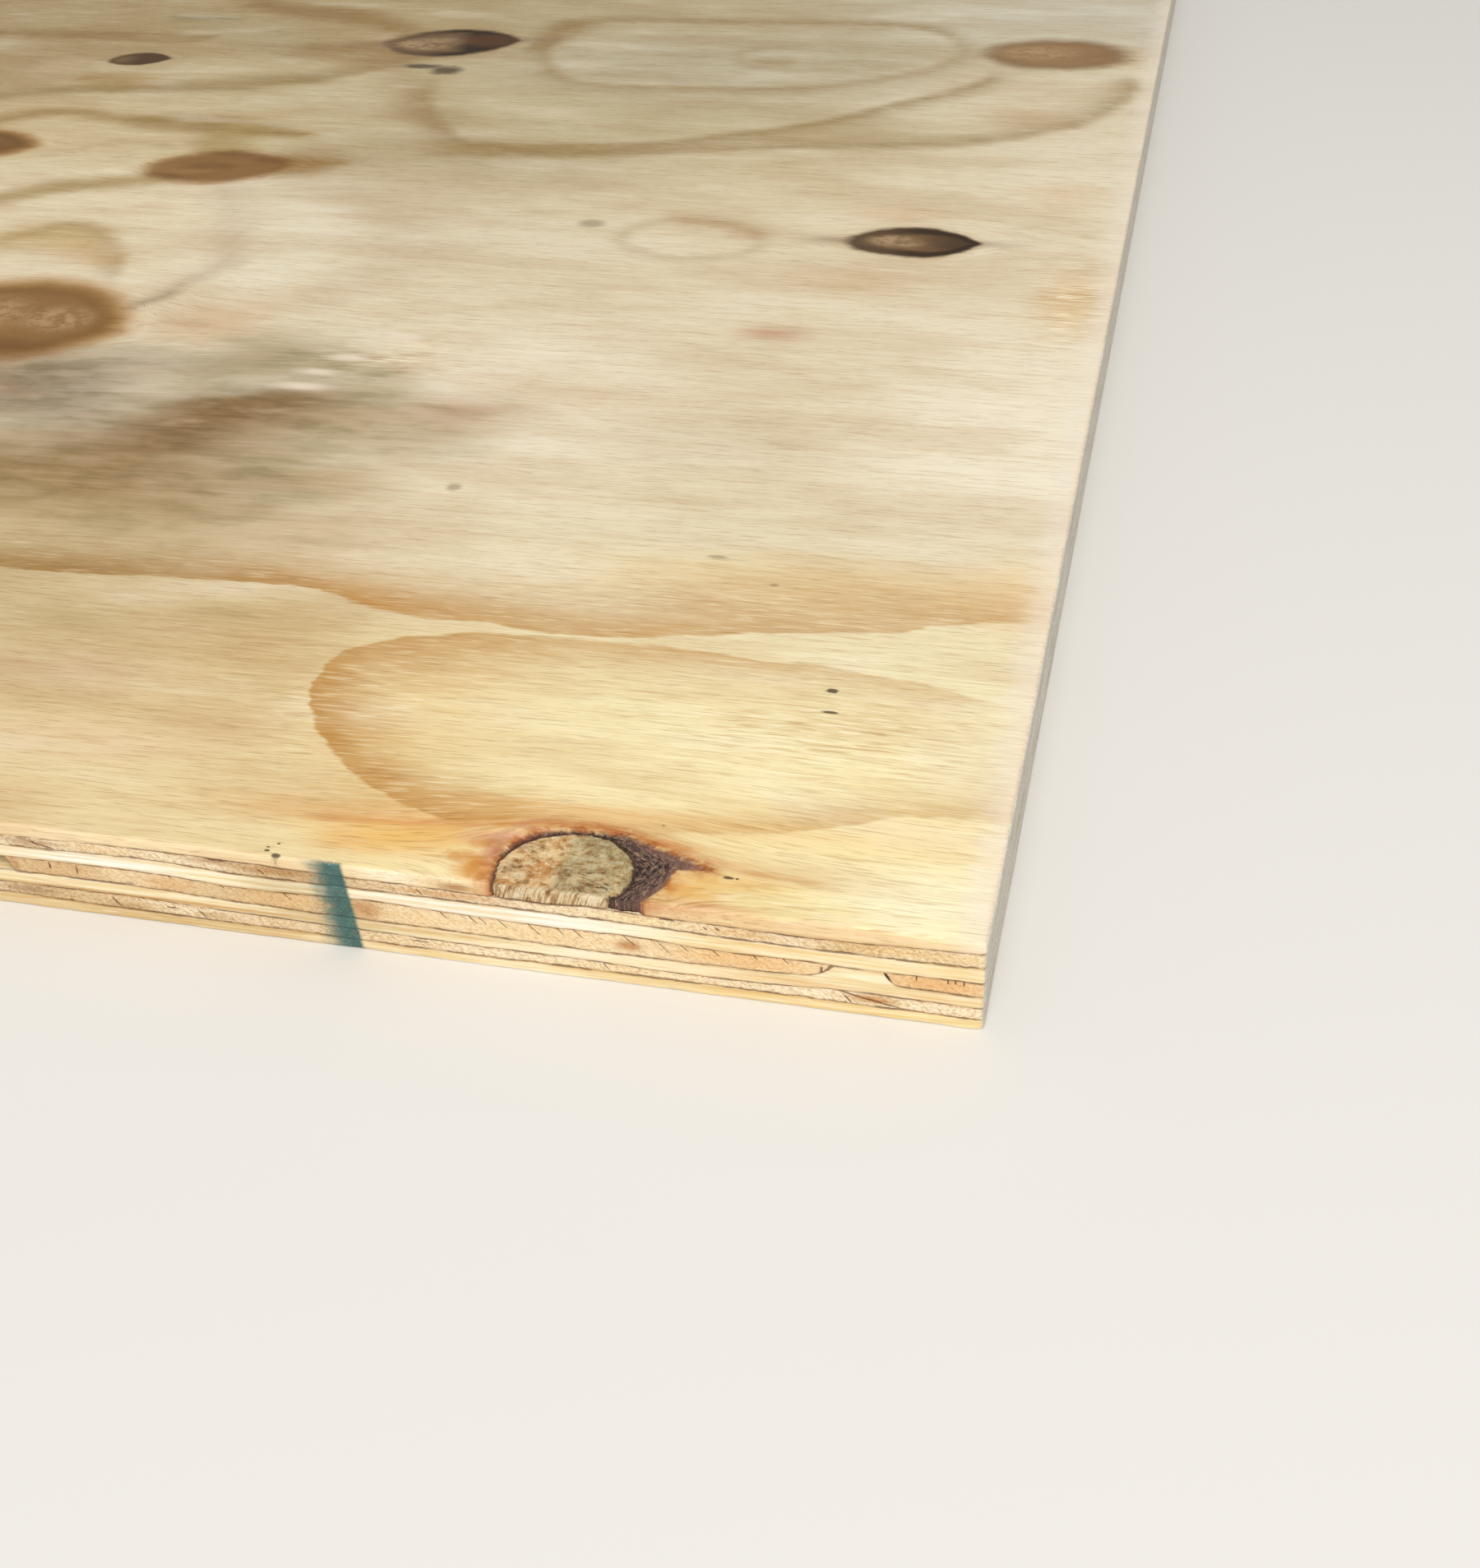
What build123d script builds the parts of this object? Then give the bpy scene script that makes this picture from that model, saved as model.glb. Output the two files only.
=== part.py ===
from build123d import *
import os

# A sheet of seven-ply softwood construction plywood, 4 by 8 feet, lying face up.
# X runs along the sheet's length, which is the grain of the face. Y runs across it, and Z is up.
# The origin is the middle of the underside. Distances named "reach" and "width" of the inner
# strips are measured from the end at +X, where the edges of the strips can be seen.

# Trimmed size of the sheet
sheet_length = 2438.4
sheet_width = 1219.2

# Thickness of each veneer, from the face down
face_thickness = 2.6
upper_crossband_thickness = 2.3
upper_long_thickness = 2.9
core_thickness = 3.5
lower_long_thickness = 2.4
lower_crossband_thickness = 2.4
back_thickness = 2.2

# The saw-cut arrises of the face and the back are worn round by handling
arris_radius = 0.8

# Upper crossband: two veneers lap at a slanted seam, the rest butt
upper_first_width = 171.0
upper_lap_run = 8.0
upper_second_width = 1219.2

# Core: a narrow strip at the end, a filled gap, a strip with a round end, then an open gap
core_end_strip_width = 16.5
core_end_strip_slant = 2.0
filled_gap_width = 8.5
round_end_run = 5.5
core_second_reach = 172.8
core_second_slant = 1.5
open_gap_width = 9.0
open_gap_slant = 1.2
core_third_width = 914.4

# Lower crossband: two veneers lap near the end, the rest butt
lower_first_width = 24.5
lower_lap_run = 11.5
lower_second_width = 1117.6

# Heights of the glue lines, from the underside up
back_top = back_thickness
lower_crossband_top = back_top + lower_crossband_thickness
lower_long_top = lower_crossband_top + lower_long_thickness
core_top = lower_long_top + core_thickness
upper_long_top = core_top + upper_long_thickness
upper_crossband_top = upper_long_top + upper_crossband_thickness
face_top = upper_crossband_top + face_thickness

near_end = sheet_length / 2
far_end = -sheet_length / 2


def inward(reach):
    """X of a point this far in from the end at +X."""
    return near_end - reach


def run_across(profile):
    """Extrude a profile drawn in X and Z over the whole width of the sheet."""
    return extrude(profile, amount=sheet_width / 2, both=True)


def full_veneer(bottom, top):
    """One veneer as long and as wide as the sheet."""
    lay = Align.CENTER, Align.CENTER, Align.MIN
    return Pos(0, 0, bottom) * Box(sheet_length, sheet_width, top - bottom, align=lay)


def crossband_strip(bottom, top, right, left):
    """One strip of a crossband. Each end is a pair: X at its top and X at its bottom."""
    corners = [(right[0], top), (left[0], top), (left[1], bottom), (right[1], bottom)]
    return run_across(Plane.XZ * make_face(Polyline(*corners, close=True)))


def lapped_crossband(bottom, top, first_width, lap_run, second_width):
    """Three strips from the end at +X: the first two lap, the last two butt."""
    lap = inward(first_width), inward(first_width - lap_run)
    butt = (inward(first_width + second_width),) * 2
    ends = [(near_end, near_end), lap, butt, (far_end, far_end)]
    return [crossband_strip(bottom, top, ends[i], ends[i + 1]) for i in range(3)]


def worn_face():
    """The face veneer, with its upper arrises rounded."""
    veneer = full_veneer(upper_crossband_top, face_top)
    return fillet(veneer.edges().group_by(Axis.Z)[-1], arris_radius)


def worn_back():
    """The back veneer, with its lower arrises rounded."""
    veneer = full_veneer(0, back_top)
    return fillet(veneer.edges().group_by(Axis.Z)[0], arris_radius)


# The two gaps in the core, as the X of their walls at the top and at the bottom of the core
end_strip_wall = inward(core_end_strip_width), inward(core_end_strip_width - core_end_strip_slant)
round_end_tip = inward(core_end_strip_width + filled_gap_width)
round_end_foot = round_end_tip - round_end_run
second_strip_wall = inward(core_second_reach + core_second_slant), inward(core_second_reach)
open_gap_wall = (
    second_strip_wall[0] - open_gap_width,
    second_strip_wall[1] - open_gap_width - open_gap_slant,
)


def round_end():
    """Curve of the second strip's rounded end, from its foot up to its tip."""
    foot = round_end_foot, lower_long_top
    tip = round_end_tip, core_top
    return TangentArc(foot, tip, tangent=(1, 0))


def core_strips():
    """The core: four strips laid side by side, with a gap each side of the second."""
    right_end = near_end, near_end
    butt = (open_gap_wall[0] - core_third_width,) * 2
    end_strip = crossband_strip(lower_long_top, core_top, right_end, end_strip_wall)
    outline = round_end() + Polyline(
        (round_end_tip, core_top),
        (second_strip_wall[0], core_top),
        (second_strip_wall[1], lower_long_top),
        (round_end_foot, lower_long_top),
    )
    second_strip = run_across(Plane.XZ * make_face(outline))
    third_strip = crossband_strip(lower_long_top, core_top, open_gap_wall, butt)
    fourth_strip = crossband_strip(lower_long_top, core_top, butt, (far_end, far_end))
    return [end_strip, second_strip, third_strip, fourth_strip]


def lower_long_veneer():
    """The long veneer under the core, pressed up into the filled gap as a ridge."""
    outline = round_end() + Polyline(
        (round_end_tip, core_top),
        (end_strip_wall[0], core_top),
        (end_strip_wall[1], lower_long_top),
        (near_end, lower_long_top),
        (near_end, lower_crossband_top),
        (far_end, lower_crossband_top),
        (far_end, lower_long_top),
        (round_end_foot, lower_long_top),
    )
    return run_across(Plane.XZ * make_face(outline))


upper_crossband = lapped_crossband(
    upper_long_top, upper_crossband_top, upper_first_width, upper_lap_run, upper_second_width
)
lower_crossband = lapped_crossband(
    back_top, lower_crossband_top, lower_first_width, lower_lap_run, lower_second_width
)

veneers = {
    "face_veneer": worn_face(),
    "upper_long_veneer": full_veneer(core_top, upper_long_top),
    "lower_long_veneer": lower_long_veneer(),
    "back_veneer": worn_back(),
}
crossbands = {
    "upper_crossband": upper_crossband,
    "core_strip": core_strips(),
    "lower_crossband": lower_crossband,
}
for band, strips in crossbands.items():
    for number, strip in enumerate(strips, start=1):
        veneers[f"{band}_{number}"] = strip

os.makedirs("parts", exist_ok=True)
for name, veneer in veneers.items():
    export_step(veneer, f"parts/{name}.step")
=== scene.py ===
import math
from collections import namedtuple
import bpy
import numpy as np
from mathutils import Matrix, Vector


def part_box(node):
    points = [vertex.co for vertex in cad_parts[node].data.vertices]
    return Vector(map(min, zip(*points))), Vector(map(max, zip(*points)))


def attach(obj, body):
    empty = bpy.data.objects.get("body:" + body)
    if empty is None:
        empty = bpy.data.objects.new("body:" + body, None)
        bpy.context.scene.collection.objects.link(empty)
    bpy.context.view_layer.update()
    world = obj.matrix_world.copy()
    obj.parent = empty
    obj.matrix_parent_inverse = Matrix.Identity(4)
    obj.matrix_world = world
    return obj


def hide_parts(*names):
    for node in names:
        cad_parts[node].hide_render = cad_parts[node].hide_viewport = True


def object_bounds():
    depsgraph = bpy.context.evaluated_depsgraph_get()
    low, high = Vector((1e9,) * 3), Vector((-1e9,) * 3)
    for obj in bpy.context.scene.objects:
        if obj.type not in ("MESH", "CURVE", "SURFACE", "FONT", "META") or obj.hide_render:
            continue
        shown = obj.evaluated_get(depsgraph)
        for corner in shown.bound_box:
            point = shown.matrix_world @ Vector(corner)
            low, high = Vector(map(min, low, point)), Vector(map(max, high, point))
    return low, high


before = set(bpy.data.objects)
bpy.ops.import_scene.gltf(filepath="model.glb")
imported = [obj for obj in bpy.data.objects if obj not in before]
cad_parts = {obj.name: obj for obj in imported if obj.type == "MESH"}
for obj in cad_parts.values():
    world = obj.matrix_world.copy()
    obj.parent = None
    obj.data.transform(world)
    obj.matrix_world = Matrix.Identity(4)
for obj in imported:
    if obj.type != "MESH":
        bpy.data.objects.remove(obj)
cad_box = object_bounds()

# The sheet lies on a pale floor, and the camera looks down on its right front corner.
# Places on the sheet are in millimetres from that corner: x is 0 at the right end and negative
# into the sheet, y is 0 at the front edge, and z is 0 at the underside.
MM = 0.001
corner_x, corner_y = cad_box[1].x, cad_box[0].y
sheet_length = (cad_box[1].x - cad_box[0].x) / MM
sheet_width = (cad_box[1].y - cad_box[0].y) / MM
sheet_thickness = cad_box[1].z / MM


def spot(x, y, z):
    """A place on the sheet in metres, in the model's frame."""
    return corner_x + x * MM, corner_y + y * MM, z * MM


def in_scene(thing):
    """Adds an object to the scene."""
    bpy.context.scene.collection.objects.link(thing)
    return thing


def colour(code):
    """A colour in the shader's linear values, from its screen code such as e6cfa0."""
    screen = [int(code[i:i + 2], 16) / 255 for i in (0, 2, 4)]
    return [v / 12.92 if v < 0.04045 else ((v + 0.055) / 1.055) ** 2.4 for v in screen]


def new_material(name, roughness, specular):
    """A material with only its Principled shader and its output."""
    made = bpy.data.materials.new(name)
    made.use_nodes = True
    shader = made.node_tree.nodes["Principled BSDF"]
    shader.inputs["Roughness"].default_value = roughness
    shader.inputs["Specular IOR Level"].default_value = specular
    return made, shader


photo_height, focal_pixels = 1907, 2400
camera_data = bpy.data.cameras.new("camera")
camera_data.sensor_width = 36
camera_data.lens = camera_data.sensor_width * focal_pixels / photo_height
camera_data.clip_start = 0.01
camera = in_scene(bpy.data.objects.new("camera", camera_data))
camera.location = spot(20.6, -237.8, 222.0)
camera.rotation_euler = [math.radians(angle) for angle in (54.09, 1.73, 12.90)]
bpy.context.scene.camera = camera
bpy.context.scene.view_settings.view_transform = "Standard"

half_floor = 15.0
floor_mesh = bpy.data.meshes.new("floor")
floor_corners = [(-1, -1), (1, -1), (1, 1), (-1, 1)]
floor_mesh.from_pydata([(x * half_floor, y * half_floor, 0) for x, y in floor_corners], [], [range(4)])
floor = in_scene(bpy.data.objects.new("floor", floor_mesh))
floor_paint, floor_shader = new_material("floor_paint", 0.9, 0.2)
floor_shader.inputs["Base Color"].default_value = (*colour("e4e2de"), 1)
floor_mesh.materials.append(floor_paint)

world = bpy.data.worlds.new("studio")
world.use_nodes = True
world.node_tree.nodes["Background"].inputs["Color"].default_value = (1.0, 0.99, 0.975, 1)
world.node_tree.nodes["Background"].inputs["Strength"].default_value = 0.54
bpy.context.scene.world = world

softbox = bpy.data.lights.new("softbox", "AREA")
softbox.shape = "RECTANGLE"
softbox.size, softbox.size_y = 1.5, 1.1
softbox.energy = 31
softbox.color = (1.0, 0.975, 0.93)
softbox_stand = in_scene(bpy.data.objects.new("softbox", softbox))
softbox_stand.location = spot(380, -1150, 1500)
softbox_aim = in_scene(bpy.data.objects.new("softbox_aim", None))
softbox_aim.location = spot(-150, 120, 0)
aim = softbox_stand.constraints.new("TRACK_TO")
aim.target = softbox_aim
aim.track_axis = "TRACK_NEGATIVE_Z"
aim.up_axis = "UP_Y"


# The back veneer goes down first: one pine veneer, peeled from the log on a lathe, with its
# grain along the sheet. It is the poorer face, with dark knots and grey-brown streaks.
# Glue and the press leave the glue line above it, and every glue line, slightly wavy.
def stations(*runs):
    """Places along an edge, from pairs: how far a run reaches, and its step."""
    places = [0.0]
    for reach, step in runs:
        start = places[-1]
        count = max(1, round((reach - start) / step))
        places += [start + (reach - start) * i / count for i in range(1, count + 1)]
    return np.array(places)


def ease(value, low, high):
    """0 below low and 1 above high, with a smooth rise between them."""
    share = np.clip((value - low) / (high - low), 0, 1)
    return share * share * (3 - 2 * share)


def drift(x, y, length, breadth, seed, waves=10):
    """A smooth random field of about -1 to 1, with features this long and this broad."""
    chance = np.random.default_rng(seed)
    total = 0
    for _ in range(waves):
        turn = chance.uniform(0, math.tau)
        pace = chance.uniform(0.5, 1.4) * math.tau
        start = chance.uniform(0, math.tau)
        total = total + np.cos(pace * (x / length * math.cos(turn) + y / breadth * math.sin(turn)) + start)
    return total / math.sqrt(waves)


def grit(a, b, seed):
    """Rough noise of 0 to 1, with bumps one unit wide."""
    table = np.random.default_rng(seed).random((256, 256))
    column, row = np.floor(a).astype(int), np.floor(b).astype(int)
    u, v = ease(a - column, 0, 1), ease(b - row, 0, 1)

    def line(step):
        here, there = table[column % 256, (row + step) % 256], table[(column + 1) % 256, (row + step) % 256]
        return here * (1 - u) + there * u

    return line(0) * (1 - v) + line(1) * v


def through(points, at):
    """A smooth line through given points, read at these places."""
    x, y = np.array(points, float).T
    order = np.argsort(x)
    x, y = x[order], y[order]
    slope = np.gradient(y, x)
    at = np.clip(at, x[0], x[-1])
    i = np.clip(np.searchsorted(x, at) - 1, 0, len(x) - 2)
    run = x[i + 1] - x[i]
    s = (at - x[i]) / run
    level = (1 + 2 * s) * (1 - s) ** 2 * y[i] + s * s * (3 - 2 * s) * y[i + 1]
    return level + s * (1 - s) ** 2 * run * slope[i] - s * s * (1 - s) * run * slope[i + 1]


# Glue lines are numbered from 1 up. 0 is the underside and 7 is the face.
UNDERSIDE, FACE = 0, 7
glue_heights = [
    0,
    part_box("back_veneer")[1].z / MM,
    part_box("lower_crossband_1")[1].z / MM,
    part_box("core_strip_1")[0].z / MM,
    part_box("core_strip_1")[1].z / MM,
    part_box("upper_long_veneer")[1].z / MM,
    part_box("face_veneer")[0].z / MM,
    sheet_thickness,
]
# Heights of the glue lines at the front edge near the corner, as x, z
front_glue_lines = {
    1: [
        (0, 2.2), (-10, 2.3), (-20, 2.2), (-30, 2.3), (-50, 2.2), (-70, 2.2), (-92, 2), (-110, 2.1),
        (-130, 2.2), (-150, 2.3), (-172, 2.6),
    ],
    2: [
        (0, 4.6), (-10, 4.8), (-20, 4.9), (-30, 4.4), (-50, 3.9), (-68, 4.2), (-90, 4.2), (-110, 4.5),
        (-130, 4.7), (-150, 5.2), (-172, 5.1),
    ],
    3: [
        (0, 7), (-12, 7.2), (-22, 7.3), (-30, 7.1), (-36, 6.8), (-50, 6.5), (-70, 6.5), (-90, 6.8),
        (-110, 6.9), (-130, 7.2), (-150, 7.8), (-172, 7.8),
    ],
    4: [
        (0, 10), (-10, 10), (-20, 9.8), (-30, 10.1), (-50, 10.1), (-56, 10.6), (-72, 10.5), (-90, 10.8),
        (-108, 11.2), (-120, 10.6), (-130, 10.5), (-145, 11.2), (-172, 10.9),
    ],
    5: [
        (0, 13.2), (-20, 12.9), (-40, 13), (-55, 13.3), (-72, 13.5), (-90, 13.6), (-110, 13.6),
        (-130, 13.5), (-145, 14.2), (-165, 13.6), (-175, 13.5),
    ],
    6: [
        (0, 16.1), (-10, 15.8), (-20, 15.4), (-30, 15.2), (-45, 15.4), (-60, 15.6), (-65, 15.9),
        (-72, 15.4), (-82, 15.5), (-95, 15.7), (-110, 15.8), (-125, 16.1), (-142, 16.3), (-158, 16.1),
        (-164, 15.8), (-175, 15.6),
    ],
}
shown_depth = 25.0


def glue_line(number, x, y):
    """Height of a glue line at these places, in millimetres."""
    if number in (UNDERSIDE, FACE):
        return np.full_like(x, glue_heights[number])
    wander = 0.16 * drift(x, y, 210, 190, 40 + number) + 0.07 * drift(x, y, 45, 45, 60 + number)
    near = ease(x, -235, -178) * np.exp(-y / shown_depth)
    shown = through(front_glue_lines[number], x) - glue_heights[number]
    fine = 0.16 * (grit(x / 2.3, y / 2.3, 20 + number) - 0.5)
    return glue_heights[number] + wander * (1 - near) + shown * near + fine


corner_wear, arris_wear = 0.9, 0.45
groove_depth, groove_width = 0.08, 0.16
far_from_glue = 9.0
inner_rows = np.array([0, 0.07, 0.2, 0.36, 0.52, 0.68, 0.82, 0.93, 1])
face_rows = np.array([0, 0.07, 0.22, 0.4, 0.56, 0.68, 0.78, 0.86, 0.93, 1])


def worn_corner(x, y):
    """Moves places near an upright corner of the sheet onto its worn, rounded line."""
    for end, inward_x in ((-sheet_length, 1), (0.0, -1)):
        for edge, inward_y in ((0.0, 1), (sheet_width, -1)):
            middle_x, middle_y = end + inward_x * corner_wear, edge + inward_y * corner_wear
            off_x, off_y = x - middle_x, y - middle_y
            far = np.hypot(off_x, off_y)
            beyond = (off_x * inward_x < 0) & (off_y * inward_y < 0) & (far > corner_wear)
            pull = np.where(beyond, corner_wear / np.maximum(far, 1e-9), 1)
            x, y = middle_x + off_x * pull, middle_y + off_y * pull
    return x, y


def square_end(rise):
    """The end of a strip that is cut square."""
    return np.zeros_like(rise)


def rim_of(xs, ys):
    """Places round a strip's four sides, from its front left corner, and the way each faces."""
    across, along = len(xs) - 1, len(ys) - 1
    x = np.concatenate([xs[:-1], np.full(along, xs[-1]), xs[:0:-1], np.full(along, xs[0])])
    y = np.concatenate([np.full(across, ys[0]), ys[:-1], np.full(across, ys[-1]), ys[:0:-1]])
    face_x = np.repeat([0, 1, 0, -1], [across, along, across, along]).astype(float)
    face_y = np.repeat([-1, 0, 1, 0], [across, along, across, along]).astype(float)
    for start in (0, across, across + along, 2 * across + along):
        face_x[start] = (face_x[start] + face_x[start - 1]) * 0.7
        face_y[start] = (face_y[start] + face_y[start - 1]) * 0.7
    return x, y, face_x, face_y


def grid_of_rim(columns, rows, first, inner_first):
    """Numbers of the points of a grid whose outer points are a rim's."""
    across, along = columns - 1, rows - 1
    index = np.empty((columns, rows), int)
    index[1:-1, 1:-1] = inner_first + np.arange((columns - 2) * (rows - 2)).reshape(columns - 2, rows - 2)
    index[:-1, 0] = first + np.arange(across)
    index[-1, :-1] = first + across + np.arange(along)
    index[:0:-1, -1] = first + across + along + np.arange(across)
    index[0, :0:-1] = first + 2 * across + along + np.arange(along)
    return index


def never(x, y):
    """No dip or ridge anywhere."""
    return np.zeros_like(x)


def veneer(name, bottom, top, xs, ys, relief, skin=None, right=square_end, left=square_end,
           ridge=None, dip=never, rows=inner_rows):
    """A closed mesh for one veneer or strip, between two glue lines.

    relief gives how far its sawn edges stand out at x, y, z. skin, "top" or "bottom", is the
    side that shows, which has a fine grid and is dented by dip. right and left shift the ends
    of a strip at each height. Returns the mesh and the place of each of its points.
    """
    x, y, face_x, face_y = rim_of(xs, ys)
    blend_run = min(20.0, (xs[-1] - xs[0]) * 0.45)
    right_pull = np.clip(1 - (xs[-1] - x) / blend_run, 0, 1)
    left_pull = np.clip(1 - (x - xs[0]) / blend_run, 0, 1)
    low = glue_line(bottom, x, y)
    high = glue_line(top, x, y) - dip(x, y)
    if ridge:
        high = high + ridge(x, y)
    wear = arris_wear * (0.6 + 0.8 * grit(x / 4.0, y / 4.0, 9))
    points, glue = [], []
    lean_right, lean_left = (end(np.ones(1))[0] - end(np.zeros(1))[0] for end in (right, left))
    for share in rows:
        rise = np.full_like(x, share)
        shifted = x + right(rise) * right_pull + left(rise) * left_pull
        z = low + (high - low) * share
        under = z - low if bottom != UNDERSIDE else np.full_like(z, far_from_glue)
        over = high - z if top != FACE else np.full_like(z, far_from_glue)
        glue_gap = np.minimum(under, over)
        if xs[-1] < -1:
            to_end = (xs[-1] + right(rise) - shifted) * 3 / math.hypot(3, lean_right)
            glue_gap = np.minimum(glue_gap, to_end + 0.02)
        if xs[0] > 1 - sheet_length:
            to_end = (shifted - xs[0] - left(rise)) * 3 / math.hypot(3, lean_left)
            glue_gap = np.minimum(glue_gap, to_end + 0.02)
        groove = groove_depth * np.exp(-(glue_gap / groove_width) ** 2)
        out = relief(shifted, y, z, face_x, face_y) - groove
        near_arris = np.clip(wear - np.minimum(z, sheet_thickness - z), 0, wear)
        out = out - (wear - np.sqrt(wear ** 2 - near_arris ** 2))
        ring_x, ring_y = worn_corner(shifted, y)
        points.append(np.stack([ring_x + face_x * out, ring_y + face_y * out, z], 1))
        glue.append(glue_gap)
    count = len(x)
    here = np.arange(count)
    after = (here + 1) % count
    quads = []
    for row in range(len(rows) - 1):
        first, above = row * count, (row + 1) * count
        quads.append(np.stack([first + here, first + after, above + after, above + here], 1))
    total = count * len(rows)
    loops = []
    for side, ring, outward in (("bottom", 0, False), ("top", len(rows) - 1, True)):
        first = ring * count
        if skin == side:
            inner_x, inner_y = (grid.ravel() for grid in np.meshgrid(xs[1:-1], ys[1:-1], indexing="ij"))
            level = glue_line(top if outward else bottom, inner_x, inner_y)
            level = level - dip(inner_x, inner_y) if outward else level
            points.append(np.stack([inner_x, inner_y, level], 1))
            index = grid_of_rim(len(xs), len(ys), first, total)
            skin_quads = np.stack([index[:-1, :-1], index[1:, :-1], index[1:, 1:], index[:-1, 1:]], 2)
            skin_quads = skin_quads.reshape(-1, 4)
            quads.append(skin_quads if outward else skin_quads[:, ::-1])
            glue.append(np.full(inner_x.size, far_from_glue))
            total += inner_x.size
            continue
        inset = min(12.0, 0.3 * (xs[-1] - xs[0]))
        middle = np.array([(xs[0] + xs[-1]) / 2, (ys[0] + ys[-1]) / 2])
        shrink = 1 - 2 * inset / np.array([xs[-1] - xs[0], ys[-1] - ys[0]])
        inner = points[ring].copy()
        inner[:, :2] = middle + (inner[:, :2] - middle) * shrink
        raised = ridge and outward
        if not raised:
            inner[:, 2] = glue_heights[top if outward else bottom]
        points.append(inner)
        glue.append(np.full(count, far_from_glue))
        band = np.stack([first + here, first + after, total + after, total + here], 1)
        quads.append(band if outward else band[:, ::-1])
        if raised:
            across, along = len(xs) - 1, len(ys) - 1
            front = total + np.arange(across + 1)
            back = total + 2 * across + along - np.arange(across + 1)
            quads.append(np.stack([front[:-1], front[1:], back[1:], back[:-1]], 1))
        else:
            loop = range(total, total + count)
            loops.append(list(loop) if outward else list(loop)[::-1])
        total += count
    place = np.concatenate(points)
    mesh = bpy.data.meshes.new(name)
    faces = np.concatenate(quads).tolist() + loops
    mesh.from_pydata(np.stack(spot(*place.T), 1).tolist(), [], faces)
    mesh.update()
    note(mesh, "glue", np.concatenate(glue))
    return mesh, place


def note(mesh, name, values):
    """Writes a number, or a vector of three, at each point of a mesh for its material to read."""
    kind, field = ("FLOAT", "value") if values.ndim == 1 else ("FLOAT_VECTOR", "vector")
    made = mesh.attributes.new(name, kind, "POINT")
    made.data.foreach_set(field, np.ascontiguousarray(values, np.float32).ravel())


def fit(name, mesh, material):
    """Makes the piece that stands for the CAD node of this name."""
    piece = in_scene(bpy.data.objects.new(name, mesh))
    mesh.materials.append(material)
    mesh.shade_smooth()
    mesh.set_sharp_from_angle(angle=math.radians(50))
    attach(piece, "root")
    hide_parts(name)


inner_xs = -stations((182, 0.45), (520, 3.5), (sheet_length, 9))[::-1]
inner_ys = stations((12, 1.0), (60, 3), (sheet_width, 9))


def sawn_along(x, y, z, face_x, face_y):
    """Relief of an edge sawn along the grain: nearly smooth, with faint saw marks."""
    run = np.where(np.abs(face_y) > 0.5, x, y)
    return -0.05 * grit(run / 3.0, z / 0.5, 5) - 0.03 * grit(run / 0.8, z / 0.6, 6)


def over_tone(tone, share, code):
    """Lays a colour over the tone of each point, by a share of 0 to 1."""
    return tone * (1 - share[:, None]) + np.array(colour(code)) * share[:, None]


def soft_patch(a, b, patch, sharp=1.0, tight=1.0):
    """1 in the middle of a patch and 0 far from it. A patch is its middle and its half sizes."""
    middle_a, middle_b, half_a, half_b = patch
    reach = ((a - middle_a) / half_a) ** 2 + ((b - middle_b) / half_b) ** 2
    return np.exp(-tight * reach ** sharp)


def edge_tone(place, base, patches):
    """Colour of each point: soft patches on the front edge, over a base colour.

    A patch is x, z, half its length, half its height, its colour and its strength.
    """
    x, y, z = place.T
    tone = np.tile(colour(base), (len(x), 1))
    for *patch, code, strength in patches:
        tone = over_tone(tone, strength * soft_patch(x, z, patch, 1.5) * (y < 3), code)
    return tone


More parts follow.
